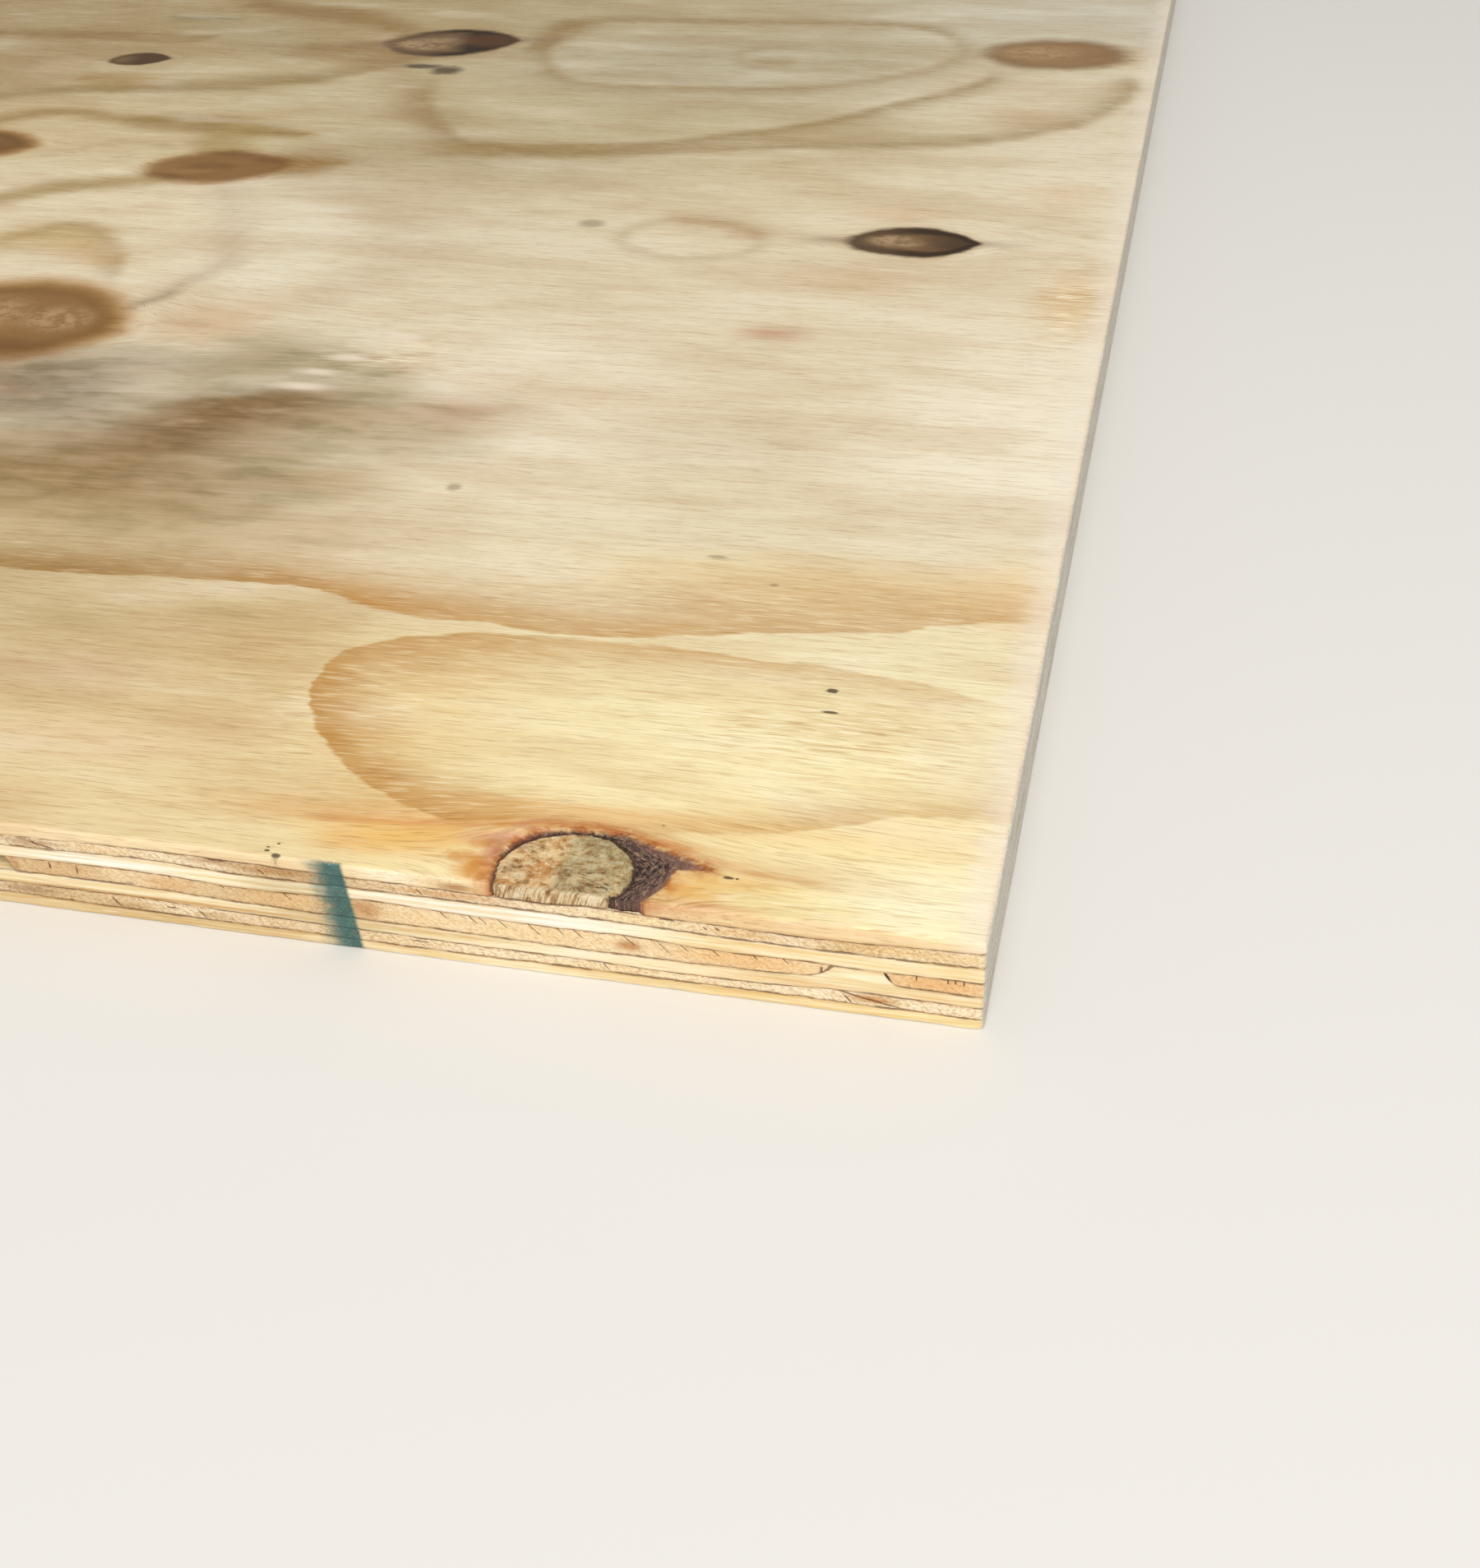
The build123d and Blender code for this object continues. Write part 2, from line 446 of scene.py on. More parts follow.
class Finish:
    """The nodes of one material or effect, with short ways to add to them."""

    def __init__(self, tree):
        self.tree = tree

    def feed(self, socket, source):
        """Links a socket, or sets its value. A text source is a colour's code."""
        if isinstance(source, bpy.types.NodeSocket):
            self.tree.links.new(source, socket)
        elif isinstance(source, str):
            socket.default_value = (*colour(source), 1)
        elif source is not None:
            socket.default_value = source

    def add(self, kind, values=(), **settings):
        """A shader node, with its first inputs fed in order."""
        made = self.tree.nodes.new("ShaderNode" + kind)
        for name, setting in settings.items():
            setattr(made, name, setting)
        for socket, source in zip(made.inputs, values):
            self.feed(socket, source)
        return made

    def sum(self, operation, *values, clamp=False):
        """The result of a Math node."""
        return self.add("Math", values, operation=operation, use_clamp=clamp).outputs[0]

    def scaled(self, value, scale, shift):
        """A value times its scale, plus a shift."""
        return self.sum("MULTIPLY_ADD", value, scale, shift)

    def size(self, value):
        """A value without its sign."""
        return self.sum("ABSOLUTE", value)

    def times(self, *values):
        """The product of several values."""
        total = values[0]
        for value in values[1:]:
            total = self.sum("MULTIPLY", total, value)
        return total

    def plus(self, *values):
        """The sum of several values."""
        total = values[0]
        for value in values[1:]:
            total = self.sum("ADD", total, value)
        return total

    def step(self, value, low, high, start=0.0, stop=1.0):
        """A smooth step from start at low to stop at high."""
        values = (value, low, high, start, stop)
        return self.add("MapRange", values, interpolation_type="SMOOTHSTEP").outputs[0]

    def join(self, x, y, z=0.0):
        """Three values as a vector."""
        return self.add("CombineXYZ", (x, y, z)).outputs[0]

    def split(self, vector):
        """A vector's three values."""
        return self.add("SeparateXYZ", (vector,)).outputs

    def vectors(self, operation, *values):
        """The vector that a VectorMath node gives."""
        return self.add("VectorMath", values, operation=operation).outputs[0]

    def length(self, vector):
        """How long a vector is."""
        return self.add("VectorMath", (vector,), operation="LENGTH").outputs["Value"]

    def noise(self, x, y, z=0.0, detail=3.0, rough=0.6):
        """Noise of 0 to 1, with features about one unit wide."""
        made = self.add("TexNoise", (self.join(x, y, z),), noise_dimensions="3D")
        for name, value in (("Scale", 1.0), ("Detail", detail), ("Roughness", rough)):
            made.inputs[name].default_value = value
        return made.outputs[0]

    def cells(self, place, scales, detail, rough, depth=0.0):
        """Noise with its own scale along each axis of a place. Two axes take a fixed depth."""
        scaled = [self.times(value, scale) for value, scale in zip(place, scales)]
        return self.noise(*(scaled + [depth])[:3], detail, rough)

    def mix(self, share, under, over, mode="MIX"):
        """Two colours mixed."""
        made = self.add("Mix", data_type="RGBA", blend_type=mode)
        for socket, source in ((0, share), (6, under), (7, over)):
            self.feed(made.inputs[socket], source)
        return made.outputs[2]

    def stain(self, share, under, over):
        """A colour multiplied over another."""
        return self.mix(share, under, over, "MULTIPLY")

    def read(self, name, output="Vector"):
        """What the mesh notes at each point under this name."""
        return self.add("Attribute", attribute_name=name).outputs[output]

    def effect(self, group, **inputs):
        """A shared effect's outputs."""
        made = self.add("Group")
        made.node_tree = group
        for name, source in inputs.items():
            self.feed(made.inputs[name], source)
        return made.outputs


def new_effect(name, inputs, outputs):
    """A node group for an effect that several materials share. All its outputs are numbers."""
    group = bpy.data.node_groups.new(name, "ShaderNodeTree")
    for socket in inputs:
        kind = "NodeSocketVector" if socket in ("Place", "Look", "Form") else "NodeSocketFloat"
        group.interface.new_socket(name=socket, in_out="INPUT", socket_type=kind)
    for socket in outputs:
        group.interface.new_socket(name=socket, in_out="OUTPUT", socket_type="NodeSocketFloat")
    given = group.nodes.new("NodeGroupInput").outputs
    gives = group.nodes.new("NodeGroupOutput").inputs
    return group, Finish(group), given, gives


# Place on the sheet: millimetres from the corner
place_group, f, given, gives = new_effect("place_on_sheet", (), ("X", "Y", "Z"))
from_corner = f.vectors("SUBTRACT", f.add("TexCoord").outputs["Object"], (corner_x, corner_y, 0))
for axis, value in enumerate(f.split(f.vectors("MULTIPLY", from_corner, (1 / MM, 1 / MM, 1 / MM)))):
    f.feed(gives[axis], value)

# Pine fibre: soft streaks, fine fibres and pale torn flecks, all drawn out along the grain
fibre_group, f, given, gives = new_effect(
    "pine_fibre", ("Along", "Across", "Depth", "Seed"), ("Streak", "Fibre", "Fleck", "Cloud")
)
fibre_sizes = {"Streak": (26, 1.1, 2), "Fibre": (7, 0.28, 2), "Fleck": (8, 0.8, 1), "Cloud": (60, 20, 2)}
for output, (length, breadth, detail) in fibre_sizes.items():
    along = f.sum("DIVIDE", given["Along"], length)
    across = f.sum("DIVIDE", given["Across"], breadth)
    depth = f.plus(f.sum("DIVIDE", given["Depth"], breadth), given["Seed"])
    f.feed(gives[output], f.noise(along, across, depth, detail, 0.6))

# Glue line: thin, dark and brown, of uneven width, with a faint stain beside it
glue_group, f, given, gives = new_effect("glue_line", ("Distance", "X", "Y", "Z"), ("Line", "Stain"))
run = f.plus(given["X"], given["Y"])
uneven = f.noise(f.sum("DIVIDE", run, 4), given["Z"], 0.5, 2, 0.65)
width = f.step(uneven, 0.35, 0.75, 0.07, 0.24)
thin = f.step(f.sum("DIVIDE", given["Distance"], width), 1.3, 0.5)
f.feed(gives["Line"], f.times(thin, f.step(uneven, 0.3, 0.6, 0.45, 1)))
f.feed(gives["Stain"], f.step(given["Distance"], 0.7, 0))

# Mill mark: a stripe of dark teal paint sprayed down the front edge, crisp on its right side
stripe_group, f, given, gives = new_effect("mill_mark", ("X", "Y", "Z"), ("Mask", "Shade"))
lean = f.scaled(given["Z"], 0.085, given["X"])
speckle = f.cells((given["X"], given["Z"]), (1.9, 2.6), 4, 0.75, given["Y"])
broad = f.cells((given["X"], given["Z"]), (0.5, 0.7), 2, 0.5, given["Y"])
crisp = f.step(f.scaled(speckle, 1, lean), -106.7, -107.6)
sprayed = f.plus(lean, f.times(speckle, 3.4), f.times(broad, 3))
feathered = f.step(sprayed, -112.6, -107.2)
on_edge = f.step(f.scaled(speckle, 1.6, given["Y"]), 1.9, 0.9)
bare = f.step(speckle, 0.6, 0.7, 1, 0.35)
f.feed(gives["Mask"], f.times(crisp, feathered, on_edge, bare))
f.feed(gives["Shade"], broad)

# End seal: thin grey-white sealer sprayed on both ends, which wraps a little round the corners
seal_group, f, given, gives = new_effect("end_seal", ("X", "Y", "Z"), ("Mask", "Shade"))
facing = f.size(f.split(f.add("NewGeometry").outputs["Normal"])[0])
grains = f.cells((given["X"], given["Y"], given["Z"]), (1.3, 1.3, 1.3), 4, 0.75)
blotch = f.cells((given["X"], given["Y"], given["Z"]), (0.4, 0.05, 0.5), 2, 0.5)
from_end = f.sum("MINIMUM", f.sum("MULTIPLY", given["X"], -1), f.plus(given["X"], sheet_length))
wrapped = f.step(f.scaled(grains, 1.8, from_end), 1.6, 1.1)
end_face = f.times(f.step(facing, 0.5, 0.8), f.step(from_end, 4, 2.5))
f.feed(gives["Mask"], f.sum("MAXIMUM", end_face, f.times(wrapped, 0.75)))
f.feed(gives["Shade"], f.scaled(blotch, 0.7, f.times(f.step(grains, 0.45, 0.7), 0.6)))


def spots(f, place, places, ragged, soft=0.35):
    """One mask for several small marks. A mark is a place and half its length and breadth."""
    nearest = None
    for a, b, half_a, half_b in places:
        scale, shift = (1 / half_a, 1 / half_b, 0), (-a / half_a, -b / half_b, 0)
        reach = f.length(f.vectors("MULTIPLY_ADD", place, scale, shift))
        nearest = reach if nearest is None else f.sum("MINIMUM", nearest, reach)
    return f.step(f.plus(nearest, ragged, -0.5), 1 + soft, 1 - soft)


def edge_finish(f, shader, wood, height, rough, x, y, z):
    """Puts the glue lines, the end seal and the mill mark over a veneer's wood."""
    glue = f.effect(glue_group, Distance=f.read("glue", "Fac"), X=x, Y=y, Z=z)
    wood = f.stain(f.times(glue["Stain"], 0.3), wood, "c79a6a")
    wood = f.mix(f.times(glue["Line"], 0.68), wood, "613f2a")
    seal = f.effect(seal_group, X=x, Y=y, Z=z)
    wood = f.mix(f.times(seal["Mask"], 0.88), wood, f.mix(seal["Shade"], "a09a8e", "f3efe4"))
    stripe = f.effect(stripe_group, X=x, Y=y, Z=z)
    wood = f.mix(f.times(stripe["Mask"], 0.96), wood, f.mix(stripe["Shade"], "1c4448", "4a7c78"))
    f.feed(shader.inputs["Base Color"], wood)
    height = f.plus(height, f.times(seal["Shade"], seal["Mask"]), f.times(glue["Line"], -1))
    bump = f.add("Bump")
    bump.inputs["Strength"].default_value = 0.8
    bump.inputs["Distance"].default_value = 0.00022
    f.feed(bump.inputs["Height"], height)
    f.feed(shader.inputs["Normal"], bump.outputs[0])
    f.feed(shader.inputs["Roughness"], f.scaled(stripe["Mask"], -0.12, rough))


# Knots: a hard disc with a darker rim, and resin in the wood around it. turn is in degrees.
# Of the rest, 0 to 1, fill is how far the disc differs from the wood, ink how near black its
# dark parts are, rim how broad the dark rim is, point how pointed its right end is, lean how
# dark its right side is, and halo how much resin lies around it.
Knot = namedtuple("Knot", "x y half_length half_breadth turn fill ink rim point lean halo")
knot_group, f, given, gives = new_effect(
    "knots", ("Place", "Look", "Form"), ("Disc", "Dark", "Ink", "Halo", "Tail", "Glow")
)
u, v, size = f.split(given["Place"])
fill, ink, rim = f.split(given["Look"])
point, lean, halo = f.split(given["Form"])
wobble = f.plus(f.cells((u, v, size), (1.4, 1.4, 3.7), 3, 0.6), -0.5)
far = f.length(f.join(u, v))
lens = f.plus(f.size(v), f.times(u, u))
pointed = f.times(point, f.step(u, -0.3, 0.7))
radius = f.plus(far, f.times(f.plus(lens, f.times(far, -1)), pointed), f.times(wobble, 0.35))
soft = f.step(ink, 0.8, 0.2, 0.12, 0.26)
shown_disc = f.step(radius, f.plus(soft, 1), f.sum("SUBTRACT", 1, soft))
f.feed(gives["Disc"], f.times(shown_disc, fill))
inner_edge = f.sum("SUBTRACT", 0.95, f.times(rim, 0.75))
in_rim = f.step(f.sum("SUBTRACT", radius, inner_edge), -0.2, 0.15)
in_rim = f.times(in_rim, f.sum("SUBTRACT", 1, f.times(lean, f.step(u, 0.1, -0.6, 0, 0.45))))
right_side = f.times(lean, f.step(f.scaled(wobble, 0.6, u), -0.2, 0.55))
middle_line = f.times(f.step(f.size(f.scaled(wobble, 0.7, v)), 0.25, 0), 0.3)
mottled = f.step(wobble, -0.05, 0.12, 0, 0.3)
f.feed(gives["Dark"], f.sum("MAXIMUM", f.sum("MAXIMUM", in_rim, right_side), f.plus(middle_line, mottled)))
f.feed(gives["Ink"], ink)
f.feed(gives["Halo"], f.times(f.step(radius, 1.45, 0.9), halo))
thin = f.step(f.size(f.scaled(wobble, 0.5, v)), 0.42, 0)
f.feed(gives["Tail"], f.times(f.step(f.size(u), 2.1, 0.9), thin, fill, ink))
inner = f.length(f.join(f.scaled(u, 1.6, 0.6), f.times(v, 1.9)))
f.feed(gives["Glow"], f.step(f.plus(inner, wobble), 1, 0.4))


def note_knots(mesh, x, y, knots):
    """Notes the nearest knot at each point of a face, and its look."""
    near, second = np.full(len(x), 90.0), np.full(len(x), 90.0)
    place, look, form = (np.zeros((len(x), 3)) for _ in range(3))
    for knot in knots:
        angle = math.radians(knot.turn)
        off_x, off_y = x - knot.x, y - knot.y
        u = (off_x * math.cos(angle) + off_y * math.sin(angle)) / knot.half_length
        v = (off_y * math.cos(angle) - off_x * math.sin(angle)) / knot.half_breadth
        far = np.hypot(u, v)
        wins = far < near
        second = np.where(wins, near, np.minimum(second, far))
        near = np.where(wins, far, near)
        place[wins] = np.stack([u, v, np.full_like(u, knot.half_breadth)], 1)[wins]
        look[wins] = (knot.fill, knot.ink, knot.rim)
        form[wins] = (knot.point, knot.lean, knot.halo)
    reach = ease(second - near, 0.4, 1.0) * ease(3.0 - near, 0, 0.8)
    look[:, 0] *= reach
    form[:, 2] *= reach
    for name, values in (("knot_place", place), ("knot_look", look), ("knot_form", form)):
        note(mesh, name, values)


def grain_shift(x, y, knots):
    """How far the grain is pushed aside by the knots it runs round, in millimetres."""
    shift = np.zeros_like(x)
    for knot in knots:
        off_x, off_y = (x - knot.x) / 1.7, y - knot.y
        size = knot.half_breadth ** 2
        shift -= 0.8 * size * off_y / np.maximum(off_x ** 2 + off_y ** 2, size)
    return shift


whorl_places = (-55, -270, -545, -760, -1010, -1265, -1490, -1755, -1980, -2205, -2395)


def scattered_knots(seed, clear_of_view):
    """Knots in whorls across the sheet, as the lathe cuts a branch ring again and again."""
    chance = np.random.default_rng(seed)
    knots = []
    for whorl in whorl_places:
        for step in range(6):
            knot_y = 90 + step * 205 + chance.uniform(-65, 65)
            knot_x = whorl + chance.uniform(-42, 42)
            size = chance.uniform(7, 24)
            ink = chance.choice((0.1, 0.2, 0.3, 0.9))
            looks = [chance.uniform(low, high) for low, high in ((0.2, 0.5), (0, 0.9), (0, 0.9), (0, 1))]
            if clear_of_view and knot_x > -570 and knot_y < 620:
                continue
            if knot_y > sheet_width - 30 or chance.random() < 0.14:
                continue
            turn = chance.uniform(-12, 12)
            knots.append(Knot(knot_x, knot_y, size * 1.2, size * 0.85, turn, 0.9, ink, *looks))
    return knots


def note_rings(mesh, x, y, knots, seed, strength):
    """Notes growth rings as contour lines of a slowly changing height, raised at the knots."""
    bent = y + grain_shift(x, y, knots)
    phase = 2.6 * drift(x, bent, 1500, 330, seed) + drift(x, bent, 520, 150, seed + 1) + x / 900
    for knot in knots:
        far = ((x - knot.x) / (knot.half_length * 3.6)) ** 2 + ((y - knot.y) / (knot.half_breadth * 3.2)) ** 2
        phase += 1.2 * np.exp(-far)
    olive = ease(drift(x, y, 600, 300, seed + 3), -1, 1)
    note(mesh, "rings_wide", np.stack([phase, np.clip(strength, 0, 1), olive], 1))
    note(mesh, "bent", bent)


def peeled_pine(f, x, z, dark_brown, depth=0.0):
    """Wood of a peeled face, from what its mesh notes. Returns its colour, fibre and ragged noise."""
    fibre = f.effect(fibre_group, Along=x, Across=f.read("bent", "Fac"), Depth=z, Seed=depth)
    y = f.read("bent", "Fac")
    steps = f.plus(f.cells((x, y), (0.07, 0.2), 2, 0.5, depth), -0.5)
    teeth = f.plus(f.cells((x, y), (0.2, 1.1), 2, 0.6, depth), -0.5)
    ragged = f.plus(f.times(steps, 7), f.times(teeth, 2.6))
    wood = f.stain(f.step(fibre["Streak"], 0.56, 0.32, 0, 0.14), f.read("tone"), "cfa266")
    wood = f.mix(f.step(fibre["Streak"], 0.52, 0.74, 0, 0.07), wood, "fff7dd")
    wood = f.stain(f.step(fibre["Cloud"], 0.56, 0.36, 0, 0.22), wood, "c9a36e")
    wood = f.mix(f.step(fibre["Cloud"], 0.54, 0.7, 0, 0.25), wood, "f6ecd6")
    phase, shown, olive = f.split(f.read("rings_wide"))
    part = f.sum("FRACT", f.scaled(ragged, 0.012, phase))
    latewood = f.times(f.sum("POWER", part, 4.5), f.step(part, 1, 0.97), shown)
    latewood = f.times(latewood, f.step(fibre["Fleck"], 0.56, 0.66, 0.8, 0.45))
    return f.mix(latewood, wood, f.mix(olive, dark_brown, "947442")), fibre, ragged


def with_knots(f, wood):
    """Puts the knots into a face's wood. Returns the colour and the knots' disc."""
    notes = {part: f.read("knot_" + part.lower()) for part in ("Place", "Look", "Form")}
    knots = f.effect(knot_group, **notes)
    wood = f.stain(f.times(knots["Halo"], 0.9), wood, "d2a660")
    wood = f.mix(f.times(knots["Tail"], 0.45), wood, "8a6c58")
    disc = f.mix(knots["Ink"], "90693a", "7e6140")
    disc = f.mix(f.times(knots["Glow"], 0.5), disc, f.mix(knots["Ink"], "a07a48", "b39a76"))
    dark = f.mix(knots["Ink"], "74501f", "2e1b06")
    disc = f.mix(f.times(knots["Dark"], f.scaled(knots["Ink"], 0.3, 0.7)), disc, dark)
    return f.mix(knots["Disc"], wood, disc), knots["Disc"]


def long_grain(f, x, y, z, seed, dark, pale):
    """Wood of a long edge sawn along the grain. Returns its colour and fibre."""
    fibre = f.effect(fibre_group, Along=x, Across=y, Depth=f.times(z, 1.5), Seed=seed)
    streaks = f.mix(f.step(fibre["Streak"], 0.34, 0.62), dark, pale)
    wood = f.stain(1, f.read("tone"), streaks)
    wood = f.mix(f.step(fibre["Fleck"], 0.55, 0.75, 0, 0.4), wood, "fff6df")
    return f.stain(f.step(fibre["Fibre"], 0.46, 0.28, 0, 0.22), wood, "a07c4c"), fibre


back_rows = 1 - face_rows[::-1]
back_xs = -stations((45, 1.5), (180, 0.9), (520, 6), (sheet_length, 16))[::-1]
back_ys = stations((1.2, 1.2), (12, 2.4), (60, 6), (sheet_width, 16))
back_mesh, back_place = veneer(
    "back_veneer", UNDERSIDE, 1, back_xs, back_ys, sawn_along, "bottom", rows=back_rows
)
back_edge_patches = [
    (-150, 1.2, 50, 3, "dcc69e", 0.9), (-38, 0.6, 12, 2, "ecd3a0", 0.7), (-84, 1.1, 22, 3, "fbf3e0", 0.8),
    (-100, 1.8, 20, 1, "f3e3bf", 0.6), (-8, 1.4, 14, 2, "f5e6bb", 0.8),
]
x, y, z = back_place.T
back_knots = scattered_knots(34, False)
tone = edge_tone(back_place, "f3e4c2", back_edge_patches)
underneath = (z < 0.3) & (y > 0.6)
weather = ease(drift(x, y, 900, 260, 91), -1.4, 1.0)
worn_tone = over_tone(np.tile(colour("cdb487"), (len(x), 1)), weather, "e0cda4")
tone = np.where(underneath[:, None], worn_tone, tone)
note(back_mesh, "tone", tone)
note_knots(back_mesh, x, y, back_knots)
note_rings(back_mesh, x, y, back_knots, 171, 0.75 * underneath)
back_pine, shader = new_material("back_pine", 0.62, 0.3)
f = Finish(back_pine.node_tree)
x, y, z = f.effect(place_group)
below, fibre, ragged = peeled_pine(f, x, z, "b07f45", 3.0)
below, _ = with_knots(f, below)
sawn, _ = long_grain(f, x, y, z, 3.0, "eedcb6", "fffaec")
flat_below = f.step(z, 0.5, 0.2)
wood = f.mix(flat_below, sawn, below)
edge_finish(f, shader, wood, f.times(fibre["Fibre"], 0.7), 0.62, x, y, z)
fit("back_veneer", back_mesh, back_pine)


# The lower crossband: three veneers laid across, whose cut ends show in the long edges as
# rough, torn end grain. The narrow one at the right end laps over its neighbour.
def sawn_across(x, y, z, face_x, face_y):
    """Relief of an edge that shows end grain: torn and pitted."""
    run = np.where(np.abs(face_y) > 0.5, x, y)
    return -0.16 * grit(run / 0.7, z / 0.6, 7) ** 2 - 0.10 * grit(run / 2.4, z / 1.1, 8)


def end_grain(name, seed, torn_dark, ground, pale, slant, cracks, checks, roughest):
    """Material of strips that show end grain in the long edges, with dark marks on the front.

    cracks lie level. checks lean as the hatch does: theirs is the place where they would meet
    the underside.
    """
    material, shader = new_material(name, 0.72, 0.2)
    f = Finish(material.node_tree)
    x, y, z = f.effect(place_group)
    leaning = f.scaled(z, slant, x)
    torn = f.noise(f.times(x, 1.3), f.times(z, 1.9), f.scaled(y, 0.05, seed), 3, 0.72)
    hatch = f.cells((leaning, z, y), (2.4, 0.25, 0.05), 2, 0.6)
    sweep = f.cells((leaning, z), (0.45, 0.15), 2, 0.5, seed)
    wood = f.mix(f.step(torn, 0.38, 0.62), ground, pale)
    wood = f.mix(f.step(torn, 0.44, 0.3, 0, roughest), wood, torn_dark)
    wood = f.mix(f.step(hatch, 0.47, 0.33, 0, 0.26), wood, torn_dark)
    wood = f.mix(f.step(sweep, 0.52, 0.68, 0, 0.45), wood, pale)
    wood = f.stain(1, wood, f.read("tone"))
    on_front = f.step(y, 3, 2)
    level = spots(f, f.join(x, z), cracks, torn)
    leant = spots(f, f.join(leaning, z), checks, torn)
    dark_lines = f.times(f.sum("MAXIMUM", level, leant), on_front)
    wood = f.mix(f.times(dark_lines, 0.75), wood, "5f3a24")
    height = f.plus(f.times(torn, 1.6), hatch, f.times(dark_lines, -2))
    edge_finish(f, shader, wood, height, 0.72, x, y, z)
    return material


def strip_places(right_end, left_end):
    """Stations along a strip, from the shared ones between its ends."""
    inside = inner_xs[(inner_xs > left_end + 0.3) & (inner_xs < right_end - 0.3)]
    return np.concatenate([[left_end], inside, [right_end]])


def lay_strip(name, bottom, top, right_end, left_end, material, patches, right=square_end, left=square_end):
    """Lays one strip of a crossband between its right and left ends."""
    xs = strip_places(right_end, left_end)
    mesh, place = veneer(name, bottom, top, xs, inner_ys, sawn_across, right=right, left=left)
    note(mesh, "tone", edge_tone(place, "ffffff", patches))
    fit(name, mesh, material)


def box_end(name, side):
    """X of a CAD node's right end, 1, or left end, 0, in millimetres from the corner."""
    return (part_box(name)[side].x - corner_x) / MM


def lap(run):
    """An end that leans by this run from its bottom to its top."""
    return lambda rise: run * rise


upper_lap_top, upper_lap_bottom = box_end("upper_crossband_1", 0), box_end("upper_crossband_2", 1)
lower_lap_top, lower_lap_bottom = box_end("lower_crossband_1", 0), box_end("lower_crossband_2", 1)
crossband_cracks = [
    (-31, 15.3, 2.6, 0.22), (-52.6, 15.3, 1.4, 0.16), (-132.2, 16.05, 2, 0.26), (-143, 3.9, 1.2, 0.14),
    (-97, 3.6, 1.6, 0.1),
]
crossband_checks = [
    (-151, 3.5, 0.22, 0.9), (-134.8, 3.4, 0.18, 0.9), (-20, 3.2, 0.16, 0.8), (-34.6, 14.5, 0.2, 0.3),
    (-32.4, 14.6, 0.2, 0.3), (-155.5, 15, 0.14, 0.5), (-112.6, 14.7, 0.16, 0.5), (-84, 14.6, 0.14, 0.5),
    (-61, 3.3, 0.14, 0.6),
]
crossband_pine = end_grain(
    "crossband_pine", 1.0, "a97c4e", "e8cca0", "fcf0d4", 0.8, crossband_cracks, crossband_checks, 0.42
)
lower_patches = [
    (-118, 3.4, 14, 4, "ebe0d2", 0.8), (-160, 3.4, 16, 4, "e2d3bd", 0.9), (-171, 3.9, 6, 1, "b59a86", 0.8),
    (-151, 3, 5, 0.8, "c3a681", 0.6), (-135, 3.2, 4, 0.8, "c8ac84", 0.6),
    (-18.5, 3.7, 4.5, 0.8, "cfa06a", 0.9), (-100, 3.2, 9, 1, "f2dfc4", 0.5), (-60, 3, 16, 1, "fbf0d6", 0.5),
]
lower_lap = lap(lower_lap_top - lower_lap_bottom)
lower_butt = box_end("lower_crossband_2", 0)
lay_strip("lower_crossband_1", 1, 2, 0.0, lower_lap_bottom, crossband_pine, lower_patches, left=lower_lap)
lay_strip("lower_crossband_2", 1, 2, lower_lap_bottom, lower_butt, crossband_pine, lower_patches, lower_lap)
lay_strip("lower_crossband_3", 1, 2, lower_butt, -sheet_length, crossband_pine, [])

# The lower long veneer: one veneer, grain along the sheet. In the press it rose into a gap
# of the core above, and fills it as a ridge with one rounded side.
ridge_tip = box_end("core_strip_2", 1)
ridge_wall = box_end("core_strip_1", 0)
round_end_run, end_strip_slant = 5.5, 2.0
core_rise = glue_heights[4] - glue_heights[3]
round_radius = (round_end_run ** 2 + core_rise ** 2) / (2 * core_rise)


def ridge_lift(x, y):
    """Height of the ridge above the glue line under the core."""
    climb = np.clip(x - (ridge_tip - round_end_run), 0, round_end_run)
    rise = (round_radius - np.sqrt(round_radius ** 2 - climb ** 2)) / core_rise
    drop = np.clip((x - ridge_wall) / end_strip_slant, 0, 1)
    return np.clip(rise, 0, 1) * (1 - drop ** 0.6) * (glue_line(4, x, y) - glue_line(3, x, y))


long_band_pine, shader = new_material("long_band_pine", 0.62, 0.3)
f = Finish(long_band_pine.node_tree)
x, y, z = f.effect(place_group)
wood, fibre = long_grain(f, x, y, z, 11.0, "f0debb", "fffbf0")
edge_finish(f, shader, wood, f.times(fibre["Fibre"], 0.6), 0.62, x, y, z)

lower_long_patches = [
    (-113, 5.7, 13, 3, "dccfae", 0.9), (-145, 5.5, 30, 0.35, "d0a772", 0.9),
    (-102, 6, 24, 0.35, "d9b784", 0.7), (-62, 5.2, 16, 1.6, "fffaec", 0.7),
    (-33, 5.4, 12, 0.7, "e6c08c", 0.6), (-6, 5.5, 9, 0.8, "efcf9c", 0.6), (-20, 8.6, 4, 1.2, "fbf0cf", 0.6),
]
lower_long_mesh, lower_long_place = veneer(
    "lower_long_veneer", 2, 3, inner_xs, inner_ys, sawn_along, ridge=ridge_lift
)
note(lower_long_mesh, "tone", edge_tone(lower_long_place, "f6ecd0", lower_long_patches))
fit("lower_long_veneer", lower_long_mesh, long_band_pine)


# The core: four strips laid across, more orange than the other crossbands. The lathe left
# slanted checks in them. Between the second and third the lay-up left an open gap.
def round_end(rise):
    """The rounded right end of the second strip."""
    return np.sqrt(np.maximum(round_radius ** 2 - (round_radius - rise * core_rise) ** 2, 0))


def eased_end(rise):
    """The left end of the first strip, rounded at its foot."""
    return -end_strip_slant * rise ** 0.6


